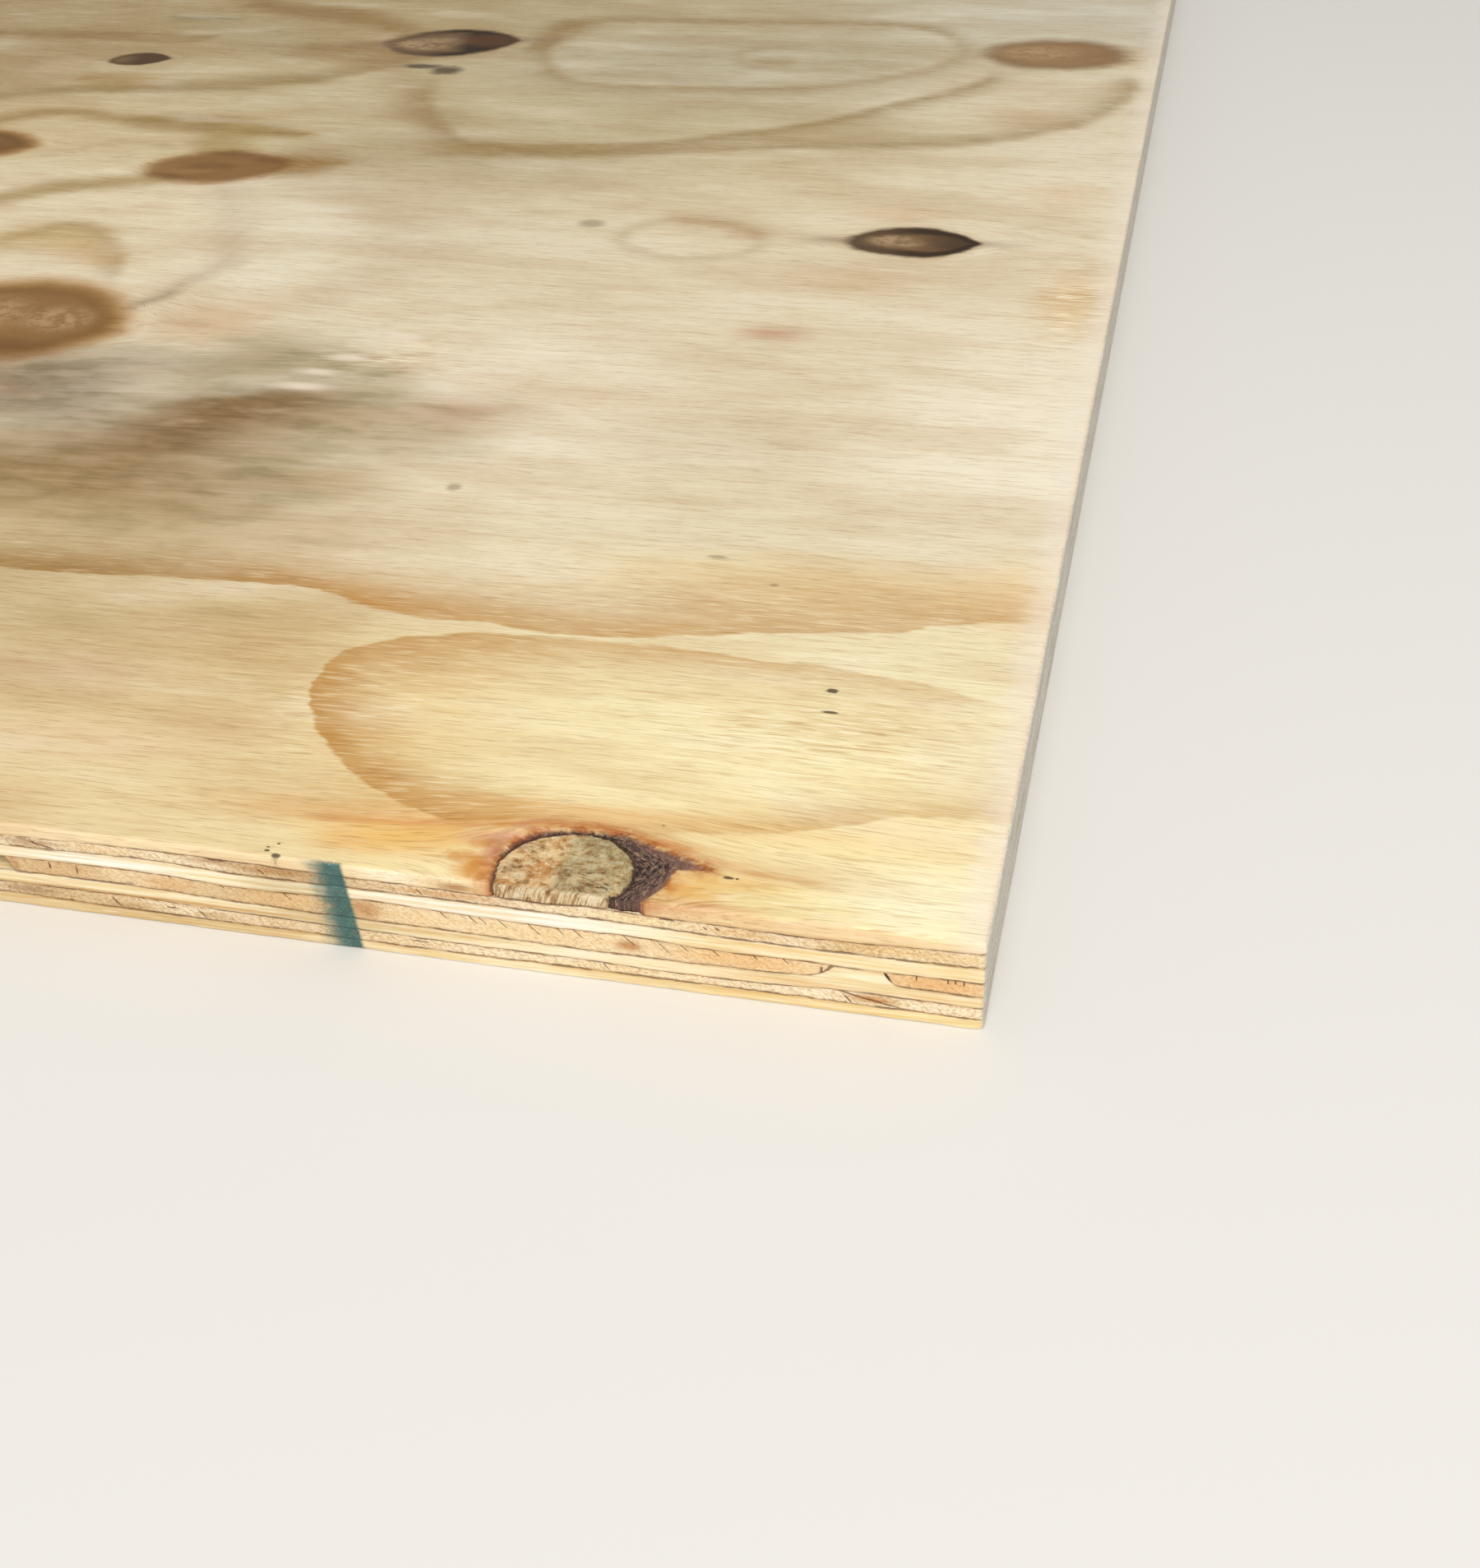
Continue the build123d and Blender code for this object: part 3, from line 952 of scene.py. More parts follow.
core_cracks = [
    (-165.4, 10, 0.16, 0.7), (-160.2, 9.8, 0.16, 0.8), (-26.9, 8.5, 0.22, 0.8), (-11.3, 9.5, 0.12, 0.5),
    (-6.2, 9.6, 0.12, 0.4), (-5, 9.6, 0.12, 0.4), (-3.6, 9.5, 0.12, 0.5),
]
core_checks = [
    (x + z, z - fall / 2, 0.13, fall / 2)
    for x, z, fall in (
        (-142.5, 11.2, 0.6), (-132.8, 10.6, 0.8), (-121.0, 10.5, 1.4), (-92.5, 10.8, 1.3),
        (-87.5, 10.8, 1.6), (-85.6, 10.7, 1.2), (-82.2, 10.7, 1.9), (-77.0, 10.6, 2.1),
        (-72.0, 10.6, 1.3), (-69.0, 10.6, 1.6), (-60.2, 10.6, 1.8), (-54.6, 10.3, 2.3),
        (-50.6, 10.2, 1.3), (-45.2, 10.1, 1.2), (-38.5, 10.1, 1.1), (-33.4, 10.1, 1.0),
    )
]
core_pine = end_grain(
    "core_pine", 5.0, "b5834f", "eccea0", "fbe9c6", 1.0, core_cracks, core_checks, 0.28
)
core_second_slant = 1.5
core_second_left = box_end("core_strip_2", 0) + core_second_slant
core_third_right = box_end("core_strip_3", 1)
core_butt = box_end("core_strip_3", 0)
core_patches = [
    (-124, 9, 19, 4, "e2d5c2", 0.9), (-165, 9, 12, 4, "e0ceb8", 0.9), (-106, 9.2, 3.2, 2.2, "c49566", 0.75),
    (-97, 9, 6.5, 1.6, "fbeed8", 0.6), (-143, 9.3, 5, 1.8, "e4c09c", 0.6),
    (-59.5, 8.6, 2.4, 1.1, "b9824c", 0.85), (-40, 8.6, 14, 2, "f3cf9a", 0.6),
    (-8, 8.6, 9, 2, "efc48c", 0.7), (-76, 8.8, 14, 2, "fbebc8", 0.4), (-122, 8.8, 8, 2, "f3dcc0", 0.5),
    (-150.3, 8.2, 1, 0.4, "8a6244", 0.7), (-172.6, 9.4, 1.2, 1.8, "b98c64", 0.5),
]
core_second_right = ridge_tip - round_end_run
core_second_lap = lap(-core_second_slant)
core_strips = [
    ("core_strip_1", 0.0, ridge_wall + end_strip_slant, core_patches, square_end, eased_end),
    ("core_strip_2", core_second_right, core_second_left, core_patches, round_end, core_second_lap),
    ("core_strip_3", core_third_right, core_butt, [], square_end, square_end),
    ("core_strip_4", core_butt, -sheet_length, [], square_end, square_end),
]
for name, right_end, left_end, patches, right, left in core_strips:
    lay_strip(name, 3, 4, right_end, left_end, core_pine, patches, right, left)

# The upper long veneer: one veneer, grain along the sheet, the palest line in the edge.
upper_long_patches = [
    (-84, 12.2, 26, 2, "ffffff", 0.9), (-120, 12, 9, 3, "dfd2b6", 0.9), (-157, 12.4, 16, 2, "ffffff", 0.9),
    (-25, 11.6, 30, 2, "f9e6bd", 0.6), (-6, 11.4, 8, 1.2, "f4dba8", 0.6),
]
upper_long_mesh, upper_long_place = veneer("upper_long_veneer", 4, 5, inner_xs, inner_ys, sawn_along)
note(upper_long_mesh, "tone", edge_tone(upper_long_place, "fbf3dc", upper_long_patches))
fit("upper_long_veneer", upper_long_mesh, long_band_pine)

# The upper crossband: three veneers laid across, under the face. The first two lap at a
# slanted seam, which shows as a dark streak.
upper_lap = lap(upper_lap_top - upper_lap_bottom)
upper_butt = box_end("upper_crossband_2", 0)
upper_patches = [
    (-117, 15, 15, 4, "dccdb8", 0.9), (-22, 14.6, 7, 3, "e4d2b4", 0.8),
    (-122, 15.1, 8, 0.9, "c09a70", 0.75), (-134, 15.6, 5, 0.6, "b68e64", 0.6),
    (-92, 14.7, 12, 0.7, "d3a670", 0.7), (-58, 14.6, 10, 1, "fbf0d0", 0.6),
    (-40, 14.2, 8, 0.9, "e6c48e", 0.6), (-155, 15, 8, 0.9, "f0d8ae", 0.5),
    (-168, 14.8, 6, 0.8, "b89a82", 0.7), (-10, 14.6, 12, 1.2, "f3d8a6", 0.6),
]
lay_strip("upper_crossband_1", 5, 6, 0.0, upper_lap_bottom, crossband_pine, upper_patches, left=upper_lap)
lay_strip("upper_crossband_2", 5, 6, upper_lap_bottom, upper_butt, crossband_pine, upper_patches, upper_lap)
lay_strip("upper_crossband_3", 5, 6, upper_butt, -sheet_length, crossband_pine, [])

# The face veneer: the best veneer of the sheet, peeled pine with its grain along the sheet.
# Growth rings show as brown bands with one sharp side, and branches show as knots. One knot
# with its bark lies at the front edge, where the saw has cut through it.
edge_knot_wood = [
    (-82.4, -6), (-82.4, 0.9), (-83.1, 4.3), (-83.2, 7.1), (-82.4, 9.5), (-80.9, 12.1), (-78.1, 14.5),
    (-73.9, 16.1), (-70, 16.6), (-66.2, 15.7), (-63.1, 13.1), (-61.4, 11.2), (-60.2, 7.8), (-60, 4.7),
    (-60.8, 2.4), (-62.6, 0.7), (-63.6, -6),
]
edge_knot_bark = [
    (-82.9, -6), (-83, 0), (-83.7, 3.4), (-83.9, 6.9), (-83.4, 10.4), (-82, 13.2), (-79.7, 15.5), (-76, 17),
    (-70.3, 17.7), (-64.3, 17.2), (-59.4, 15.2), (-54.6, 13.4), (-52.7, 12.6), (-47.6, 10.6), (-53.2, 9.8),
    (-54, 6.7), (-54.3, 4.5), (-55.8, 2), (-56.8, 0.3), (-57.4, -6),
]


def off_segment(x, y, x0, y0, x1, y1):
    """How far each place is from a straight segment, and how far along it, 0 to 1, it is nearest."""
    run_x, run_y = x1 - x0, y1 - y0
    share = np.clip(((x - x0) * run_x + (y - y0) * run_y) / (run_x ** 2 + run_y ** 2), 0, 1)
    return np.hypot(x - x0 - share * run_x, y - y0 - share * run_y), share


def depth_inside(x, y, outline):
    """How far each place is inside a closed outline, negative outside it."""
    gap = np.full(x.shape, 1e9)
    inside = np.zeros(x.shape, bool)
    for (x0, y0), (x1, y1) in zip(outline, outline[1:] + outline[:1]):
        gap = np.minimum(gap, off_segment(x, y, x0, y0, x1, y1)[0])
        if y1 != y0:
            inside ^= ((y0 > y) != (y1 > y)) & (x < x0 + (x1 - x0) * (y - y0) / (y1 - y0))
    return np.where(inside, gap, -gap)


def knot_dip(x, y):
    """Depth of the torn knot at the front edge and of its bark, in millimetres."""
    wood, bark = depth_inside(x, y, edge_knot_wood), depth_inside(x, y, edge_knot_bark)
    rough = grit(x / 0.9, y / 0.7, 31)
    torn = ease(wood, -0.2, 0.5) * (0.10 + 0.30 * grit(x / 2.0, y / 1.1, 32) * rough)
    crumbled = ease(bark, -0.3, 0.6) * ease(-wood, -0.3, 0.3) * (0.25 + 0.55 * rough)
    split = 0.35 * np.exp(-(wood / 0.45) ** 2)
    chip = 0.12 * ease(grit(x / 2.6, y / 1.2, 33), 0.7, 0.95) * (y < 1)
    return np.maximum(torn, crumbled) + split + chip


def sawn_face_edge(x, y, z, face_x, face_y):
    """Relief of the face veneer's sawn edge: smooth but for the knot that the saw cut."""
    cut = knot_dip(x, np.zeros_like(x)) * (y < 1) * (np.abs(face_y) > 0.5)
    return sawn_along(x, y, z, face_x, face_y) - 0.8 * cut


face_xs = -stations((45, 1.5), (97, 0.5), (180, 1.5), (520, 4.6), (sheet_length, 15))[::-1]
face_ys = stations((1.2, 1.2), (20, 0.5), (130, 3.0), (600, 6.2), (sheet_width, 14))
face_mesh, face_place = veneer(
    "face_veneer", 6, FACE, face_xs, face_ys, sawn_face_edge, "top", dip=knot_dip, rows=face_rows
)
x, y, z = face_place.T
wood_depth, bark_depth = depth_inside(x, y, edge_knot_wood), depth_inside(x, y, edge_knot_bark)
wood_depth = np.where(y > 1000, -99, wood_depth)
note(face_mesh, "edge_knot", np.stack([wood_depth, bark_depth, np.zeros_like(x)], 1))

# Rings traced as points x, y, with the fade on the left of the way they run. After them
# come the breadths of the fade and its strengths along the way.
front_loop = [
    (0, 66), (-15, 71), (-30, 74), (-50, 76), (-75, 77.5), (-100, 76.5), (-115, 74), (-127, 70), (-134, 65),
    (-136.5, 57), (-135, 48), (-131, 40), (-125, 33), (-118, 27), (-111, 21), (-103, 17.5), (-94, 16),
    (-86, 17.5), (-78, 19.5),
]
long_band = [
    (-520, 62), (-420, 70), (-330, 79), (-280, 82), (-222, 83), (-200, 84), (-180, 85.5), (-160, 86.5),
    (-150, 85.5), (-140, 82.5), (-130, 80.5), (-115, 79), (-100, 78), (-85, 78.5), (-77, 80.5), (-60, 84),
    (-45, 87), (-30, 90), (-20, 95), (-8, 98), (3, 99),
]
corner_band = [(-62, 18), (-52, 19.5), (-40, 22), (-30, 26), (-15, 31), (3, 33)]
resin_line = [
    (-124, 11.5), (-112, 12.5), (-102, 13.5), (-94, 14.8), (-88, 15.8), (-82, 17), (-76, 18), (-70, 18.2),
    (-63, 17.6), (-57, 15.4), (-50, 12.8), (-42, 11), (-34, 10.4), (-24, 9.8),
]
lower_oval = [
    (-56, 466), (-58, 453), (-66, 440), (-78, 428), (-88, 418), (-97, 408), (-106, 400), (-118, 392),
    (-133, 384), (-145, 377), (-160, 371), (-180, 367), (-200, 364), (-215, 366), (-224, 376), (-233, 388),
    (-240, 400), (-245, 415), (-248, 434),
]
outer_sweep = [
    (-232, 350), (-200, 352), (-165, 357), (-140, 364), (-100, 373), (-70, 378), (-50, 384), (-32, 397),
    (-18, 410), (-9, 430), (-5, 450), (-8, 466),
]
inner_oval = [
    (-76, 500), (-71, 486), (-75, 470), (-84, 458), (-95, 449), (-107, 442), (-120, 436), (-140, 433),
    (-170, 431), (-192, 432), (-204, 438), (-211, 450), (-218, 463), (-219, 480), (-221, 496), (-212, 506),
    (-190, 509), (-160, 510), (-130, 512), (-105, 514), (-88, 510), (-76, 500),
]
heart = [(-88, 463), (-110, 458), (-130, 456), (-143, 461), (-147, 470), (-141, 479), (-120, 483)]
crescent = [(-272, 236), (-280, 256), (-290, 268), (-298, 275), (-311, 278), (-326, 258)]
upper_left_band = [
    (-372, 545), (-362, 528), (-351, 511), (-338, 504), (-320, 500.5), (-302, 498), (-292, 491),
    (-283, 481), (-277, 468),
]
far_left_band = [
    (-500, 470), (-460, 467), (-440, 464), (-410, 465), (-395, 463), (-380, 461), (-365, 460), (-352, 466),
]
left_bowl = [
    (-430, 372), (-400, 388), (-385, 396), (-365, 401), (-345, 403), (-330, 405), (-315, 409), (-300, 416),
    (-286, 425), (-276, 434), (-268, 446), (-263, 458),
]
left_dome = [(-318, 375), (-335, 375), (-348, 377), (-360, 381), (-371, 379), (-380, 371), (-390, 358)]
little_arch = [(-306, 345), (-318, 352), (-330, 351), (-343, 342)]
small_ring = [
    (-121 + 19 * math.cos(-turn * math.tau / 16), 291 + 13 * math.sin(-turn * math.tau / 16))
    for turn in range(17)
]
first_rings = [
    (front_loop, (15, 27, 24, 12), (0.35, 0.85, 1.1, 0.8)), (corner_band, (10, 16, 18), (0.3, 0.6, 0.55)),
    (lower_oval, (17, 18, 20, 20), (0.9, 1.05, 1, 0.8)), (heart, (9, 9), (0.35, 0.5)),
    (crescent, (14, 14), (0.6, 0.6)), (upper_left_band, (22, 20), (0.8, 0.8)),
    (left_bowl, (16, 18, 24), (0.6, 0.75, 0.6)), (small_ring, (10, 10), (0.45, 0.55)),
    (little_arch, (9, 9), (0.4, 0.4)),
]
second_rings = [
    (long_band, (20, 24, 22, 30, 34, 38), (0.85, 1.1, 1.05, 0.82, 0.75, 0.5)),
    (outer_sweep, (20, 22, 24), (1, 0.85, 0.8)), (inner_oval, (15, 15, 15, 16), (0.55, 0.85, 0.85, 0.95)),
    (far_left_band, (14, 14), (0.7, 0.7)), (left_dome, (14, 14), (0.7, 0.7)),
]


def ring_traces(x, y, rings):
    """Millimetres across the nearest traced ring, the breadth of its fade, and its strength."""
    across, breadth = np.full(len(x), -50.0), np.full(len(x), 10.0)
    near, second, strength = np.full(len(x), 1e9), np.full(len(x), 1e9), np.zeros(len(x))
    for points, fades, strengths in rings:
        points = np.array(points, float)
        place = np.arange(len(points))
        fine = np.linspace(0, len(points) - 1, len(points) * 6)
        line_x = through(np.stack([place, points[:, 0]], 1), fine)
        line_y = through(np.stack([place, points[:, 1]], 1), fine)
        way = fine / fine[-1]
        fade = np.interp(way, np.linspace(0, 1, len(fades)), fades)
        power = np.interp(way, np.linspace(0, 1, len(strengths)), strengths)
        if np.hypot(*(points[0] - points[-1])) > 1:
            power = power * ease(way, 0, 0.06) * ease(1 - way, 0, 0.06)
        room = 2.5 * max(fades)
        picked = np.flatnonzero(
            (x > line_x.min() - room) & (x < line_x.max() + room)
            & (y > line_y.min() - room) & (y < line_y.max() + room)
        )
        here_x, here_y = x[picked], y[picked]
        best = np.full(len(picked), 1e9)
        side, at = np.zeros(len(picked)), np.zeros(len(picked))
        ends = list(zip(line_x, line_y, way))
        for (x0, y0, way_0), (x1, y1, way_1) in zip(ends, ends[1:]):
            gap, share = off_segment(here_x, here_y, x0, y0, x1, y1)
            closer = gap < best
            best = np.where(closer, gap, best)
            left_hand = (x1 - x0) * (here_y - y0) - (y1 - y0) * (here_x - x0)
            side = np.where(closer, np.sign(left_hand), side)
            at = np.where(closer, way_0 + share * (way_1 - way_0), at)
        width = np.interp(at, way, fade)
        wins = best / width < near[picked]
        second[picked] = np.where(wins, near[picked], np.minimum(second[picked], best / width))
        chosen = picked[wins]
        near[chosen] = (best / width)[wins]
        across[chosen] = (side * best)[wins]
        breadth[chosen] = width[wins]
        reach = np.where(side > 0, 1.35, 0.85) - best / width
        strength[chosen] = (np.interp(at, way, power) * ease(reach, 0, 0.25))[wins]
    strength *= ease(second - near, 0.3, 0.8)
    return np.stack([across, breadth, strength], 1)


note(face_mesh, "rings_a", ring_traces(x, y, first_rings))
note(face_mesh, "rings_b", ring_traces(x, y, second_rings))

shown_knots = [
    Knot(-57.5, 297.5, 19, 11.5, 4, 1, 0.95, 0.5, 0.9, 0.8, 0.25),
    Knot(-286, 330.5, 21, 14, 10, 1, 0, 0.08, 0.3, 0.1, 0.7),
    Knot(-36, 484, 25, 18, 4, 0.88, 0, 0.24, 0, 0, 0.15),
    Knot(-258, 474, 25, 17.5, 12, 1, 1, 0.32, 0.6, 1.3, 0.3),
    Knot(-288, 207.5, 30.5, 23, -8, 1, 0, 0.22, 0.25, 0.2, 1),
    Knot(-368, 439.5, 11.5, 8, 12, 1, 0.7, 1.6, 0.6, 0.8, 0.2),
    Knot(-380, 341, 22, 13, 0, 1, 0.1, 0.55, 0.2, 0.8, 1),
]
edge_knot = Knot(-71.0, 6.0, 13.0, 12.0, *[0] * 7)
hidden_knots = scattered_knots(21, True)
note_knots(face_mesh, x, y, shown_knots + hidden_knots)

# Millimetres past the photo's left and upper borders, which cross the sheet at a slant
left_of_view = (-175 - x) * 0.869 - y * 0.495
above_view = y - 512 - (x + 467) * 0.107
beyond_view = ease(np.maximum(left_of_view, above_view), -30, 60)
strength = beyond_view * (0.62 + 0.38 * drift(x, y, 700, 240, 73))
note_rings(face_mesh, x, y, hidden_knots + shown_knots + [edge_knot], 71, strength)

# Broad tones: x, y, half length, half breadth, colour. They are partly the wood's own tone and partly painted
# light and shade: warm and bright towards the front right corner, duller and greyer farther back and to the
# left
honey, cream, drab, olive = "fbecb6", "f3ead0", "c4b48e", "b8a277"
face_tones_with_painted_light = [
    (-30, 20, 150, 34, honey), (-70, 48, 62, 24, "f6e9bc"), (-160, 30, 60, 40, "dcc294"),
    (-220, 60, 60, 30, "cdb88c"), (-60, 118, 110, 26, "e2d4b0"), (-30, 85, 40, 14, "f2e5bd"),
    (-15, 180, 40, 60, "faf2dc"), (-80, 200, 60, 60, "e2d3b2"), (-140, 185, 40, 40, "fdf6e2"),
    (-130, 120, 50, 25, "efe3c6"), (-60, 260, 90, 50, "ebdfc2"), (-160, 245, 60, 40, "e2d4b4"),
    (-240, 240, 50, 40, "eee2c6"), (-200, 300, 50, 40, "dfd2b4"), (-20, 350, 60, 50, "ece2c6"),
    (-100, 330, 60, 40, "dfd0ac"), (-310, 280, 40, 30, "eee0c0"), (-200, 350, 50, 20, "bfad86"),
    (-150, 390, 90, 30, "ccbe98"), (-30, 430, 50, 40, "e9ddc0"), (-150, 460, 80, 40, "c5ba9c"),
    (-40, 535, 80, 30, "dcd8c4"), (-160, 530, 80, 30, drab), (-300, 415, 60, 40, "cfbd94"),
    (-350, 365, 50, 25, "decea6"), (-330, 490, 80, 40, "bca87c"), (-430, 470, 60, 60, olive),
]
tone_sum, weight_sum = np.zeros((len(x), 3)), np.full(len(x), 1e-6)
for *patch, code in face_tones_with_painted_light:
    weight = soft_patch(x, y, patch)
    tone_sum += weight[:, None] * np.array(colour(code))
    weight_sum += weight
elsewhere = np.tile(colour("dccba2"), (len(x), 1))
for length, breadth, seed, most, code in ((900, 300, 81, 1.0, cream), (700, 420, 82, 0.4, "e4c68c")):
    elsewhere = over_tone(elsewhere, most * ease(drift(x, y, length, breadth, seed), -1.2, 1.2), code)
tone = (tone_sum + elsewhere * 0.02) / (weight_sum + 0.02)[:, None]
# Beyond the view, the painted light and shade of the broad tones fade into the plain tone
far_from_view = ease(np.maximum(left_of_view, above_view), -10, 260)
tone += far_from_view[:, None] * (elsewhere - tone)

# Small patches over them: the golden wood round the front knot, and pinkish and orange places. The palest
# ones, near the front right corner, are partly painted light
golden, orange, pinkish, red_brown = "edbd68", "dc9a42", "deb08e", "9a5a44"
small_patches = [
    (-104, 9, 13, 5, golden, 0.85), (-94, 12, 12, 3, golden, 0.7), (-86.5, 4, 3.5, 4.5, orange, 0.9),
    (-87.5, 12.2, 5, 2.2, pinkish, 0.8), (-84.6, 9.6, 1.2, 2.2, red_brown, 0.7),
    (-50, 4.5, 7, 3, "e9b45c", 0.85), (-42, 7.8, 14, 2.2, "efc068", 0.7), (-90, 17, 26, 4, "e6b260", 0.5),
    (-58, 15.8, 10, 1.2, "e0a45a", 0.5), (-28, 5, 14, 4, "fdf0b0", 0.6), (-46, 1.2, 9, 0.8, "d99a5c", 0.6),
    (-14, 30, 12, 9, "f3d98c", 0.3), (-30, 22, 30, 5, "f3d48c", 0.2), (-112, 7, 5, 3, "e9bb74", 0.6),
    (-8, 48, 12, 18, "fbf3d4", 0.6), (-10, 8, 20, 9, "fff9da", 0.7), (-10, 260, 10, 22, "ecc88c", 0.5),
    (-120, 185, 28, 14, "e0cbaa", 0.5), (-72, 267, 22, 10, "cfae80", 0.65),
    (-66, 318, 16, 7, "dcb990", 0.6), (-20, 340, 12, 14, "e2c29a", 0.5), (-84, 230, 9, 2.6, "c48e6c", 0.7),
    (-36, 408, 18, 14, "cdb184", 0.5), (-232, 212, 18, 12, "d6b88e", 0.7), (-78, 296, 14, 4, "a89078", 0.4),
    (-40, 105, 70, 11, "f0d49a", 0.5), (-20, 25, 34, 5, "efc277", 0.2), (-8, 108, 12, 14, "f9e2b6", 0.7),
    (-118, 14, 20, 4, "e2ab62", 0.45), (-150, 55, 14, 24, "d4b884", 0.7), (-165, 74, 9, 3, "b9a26e", 0.5),
    (-196, 66, 12, 4, "b8a070", 0.5), (-186, 48, 22, 7, "dcc0a0", 0.5), (-172, 26, 26, 6, "e6c8a2", 0.5),
    (-145, 36, 12, 8, "dfc296", 0.5), (-112, 45, 18, 24, "ecd095", 0.6), (-85, 165, 28, 14, "d3c1a0", 0.5),
    (-72, 22, 40, 2.5, "e3ad62", 0.6),
]
for *patch, code, power in small_patches:
    tone = over_tone(tone, power * soft_patch(x, y, patch, 1.3), code)

# Washes: soft olive and brown parts of growth rings, far from the front edge. Each is a
# stroke through places x, y with half its breadth there.
gold, golden_olive, dull_olive, brown_wash, trail = "b39258", "b29a62", "a99668", "a38655", "cfba9f"
washes = [
    ("b5a684", 0.4, [(-357, 484, 12), (-330, 476, 16), (-318, 458, 12)]),
    ("d8c8a2", 0.6, [(-397, 428, 12), (-372, 428, 6)]),
    ("d9cdac", 0.6, [(-262, 395, 10), (-276, 408, 12), (-300, 398, 8)]),
    ("e4d2ac", 0.6, [(-362, 347, 8), (-344, 347, 6)]),
    ("f0e4c4", 0.6, [(-285, 285, 10), (-278, 262, 8), (-265, 240, 5)]),
    ("efe6cc", 0.8, [(-243, 300, 10), (-234, 275, 14), (-230, 250, 10)]),
    ("7f7650", 0.7, [(-376, 495.5, 4), (-362, 496.5, 4)]),
    (brown_wash, 0.85, [(-445, 467, 5), (-415, 468.5, 5), (-388, 467.5, 4.5), (-354, 469, 3.5)]),
    (brown_wash, 0.85, [(-374, 533, 6), (-355, 518, 7), (-334, 512, 8), (-310, 504, 8), (-288, 491, 7)]),
    (brown_wash, 0.85, [(-306, 460, 11), (-290, 460, 17), (-276, 448, 12)]),
    (dull_olive, 0.7, [
        (-398, 393, 5), (-376, 400, 6), (-356, 407, 7), (-332, 411, 7), (-311, 417, 8), (-292, 428, 10),
    ]),
    (gold, 0.8, [(-378, 414, 4), (-360, 414, 6), (-348, 411, 5), (-355, 404, 4)]),
    (gold, 0.7, [(-388, 362, 4), (-376, 375, 4), (-366, 379, 4), (-348, 375, 4), (-328, 373, 5)]),
    ("a3854c", 0.95, [(-331, 371, 6), (-309, 370, 7.5), (-290, 367, 7.5), (-268, 365, 4)]),
    (golden_olive, 0.85, [(-298, 368, 8), (-294, 356, 8), (-291, 344, 9)]),
    ("a07d46", 1, [(-266, 336, 11), (-260, 336, 11), (-254, 338, 8)]),
    (golden_olive, 0.85, [(-303, 317, 7), (-315, 310, 6), (-326, 304, 6), (-344, 294, 6)]),
    ("b5a078", 0.5, [
        (-262, 434, 7), (-254, 420, 9), (-246, 403, 10), (-231, 380, 10), (-215, 368, 8), (-203, 361, 5),
    ]),
    (trail, 0.5, [
        (-274, 316, 9), (-268, 300, 7), (-264, 289, 5.5), (-257, 277, 5.5), (-250.5, 266, 5),
        (-248.5, 250, 4),
    ]),
    (trail, 0.8, [(-248.5, 250, 4), (-253, 229, 3), (-258, 218, 2.5)]),
    (trail, 0.25, [
        (-249, 320, 8), (-224, 307, 10), (-206, 288, 9), (-194, 270, 8), (-200, 250, 8), (-213, 234, 7),
    ]),
    ("c9ae74", 0.85, [(-320, 263, 9), (-308, 269, 10), (-296, 268, 8)]),
    ("dabd88", 0.7, [(-292, 260, 7), (-284, 250, 6)]), ("a89268", 0.7, [(-140, 463, 5), (-132, 463, 5)]),
    (brown_wash, 0.75, [(-222, 502, 7), (-222, 488, 9), (-220, 474, 5)]),
    ("b8a680", 0.5, [(-206, 346, 5), (-180, 347, 6), (-162, 350, 4)]),
    ("b39a64", 0.35, [(-112, 384, 6), (-92, 389, 7), (-68, 386, 6), (-50, 389, 4)]),
    ("cdbb92", 0.6, [(-138, 362, 6), (-104, 362, 6)]),
    ("cdb088", 0.6, [(-130, 305, 6), (-114, 304, 4), (-102, 296, 4)]),
    ("a99a7c", 0.7, [(-252, 229, 3), (-256, 224, 2)]),
]
tone_x = x + 3.0 * drift(x, y, 60, 40, 53)
tone_y = y + 1.6 * drift(x, y, 60, 40, 54)
for code, power, path in washes:
    reach = np.full(len(x), 1e9)
    for (x0, y0, half_0), (x1, y1, half_1) in zip(path, path[1:]):
        gap, share = off_segment(tone_x, tone_y, x0, y0, x1, y1)
        reach = np.minimum(reach, gap / (half_0 + share * (half_1 - half_0)))
    tone = over_tone(tone, power * np.exp(-0.75 * reach ** 3), code)
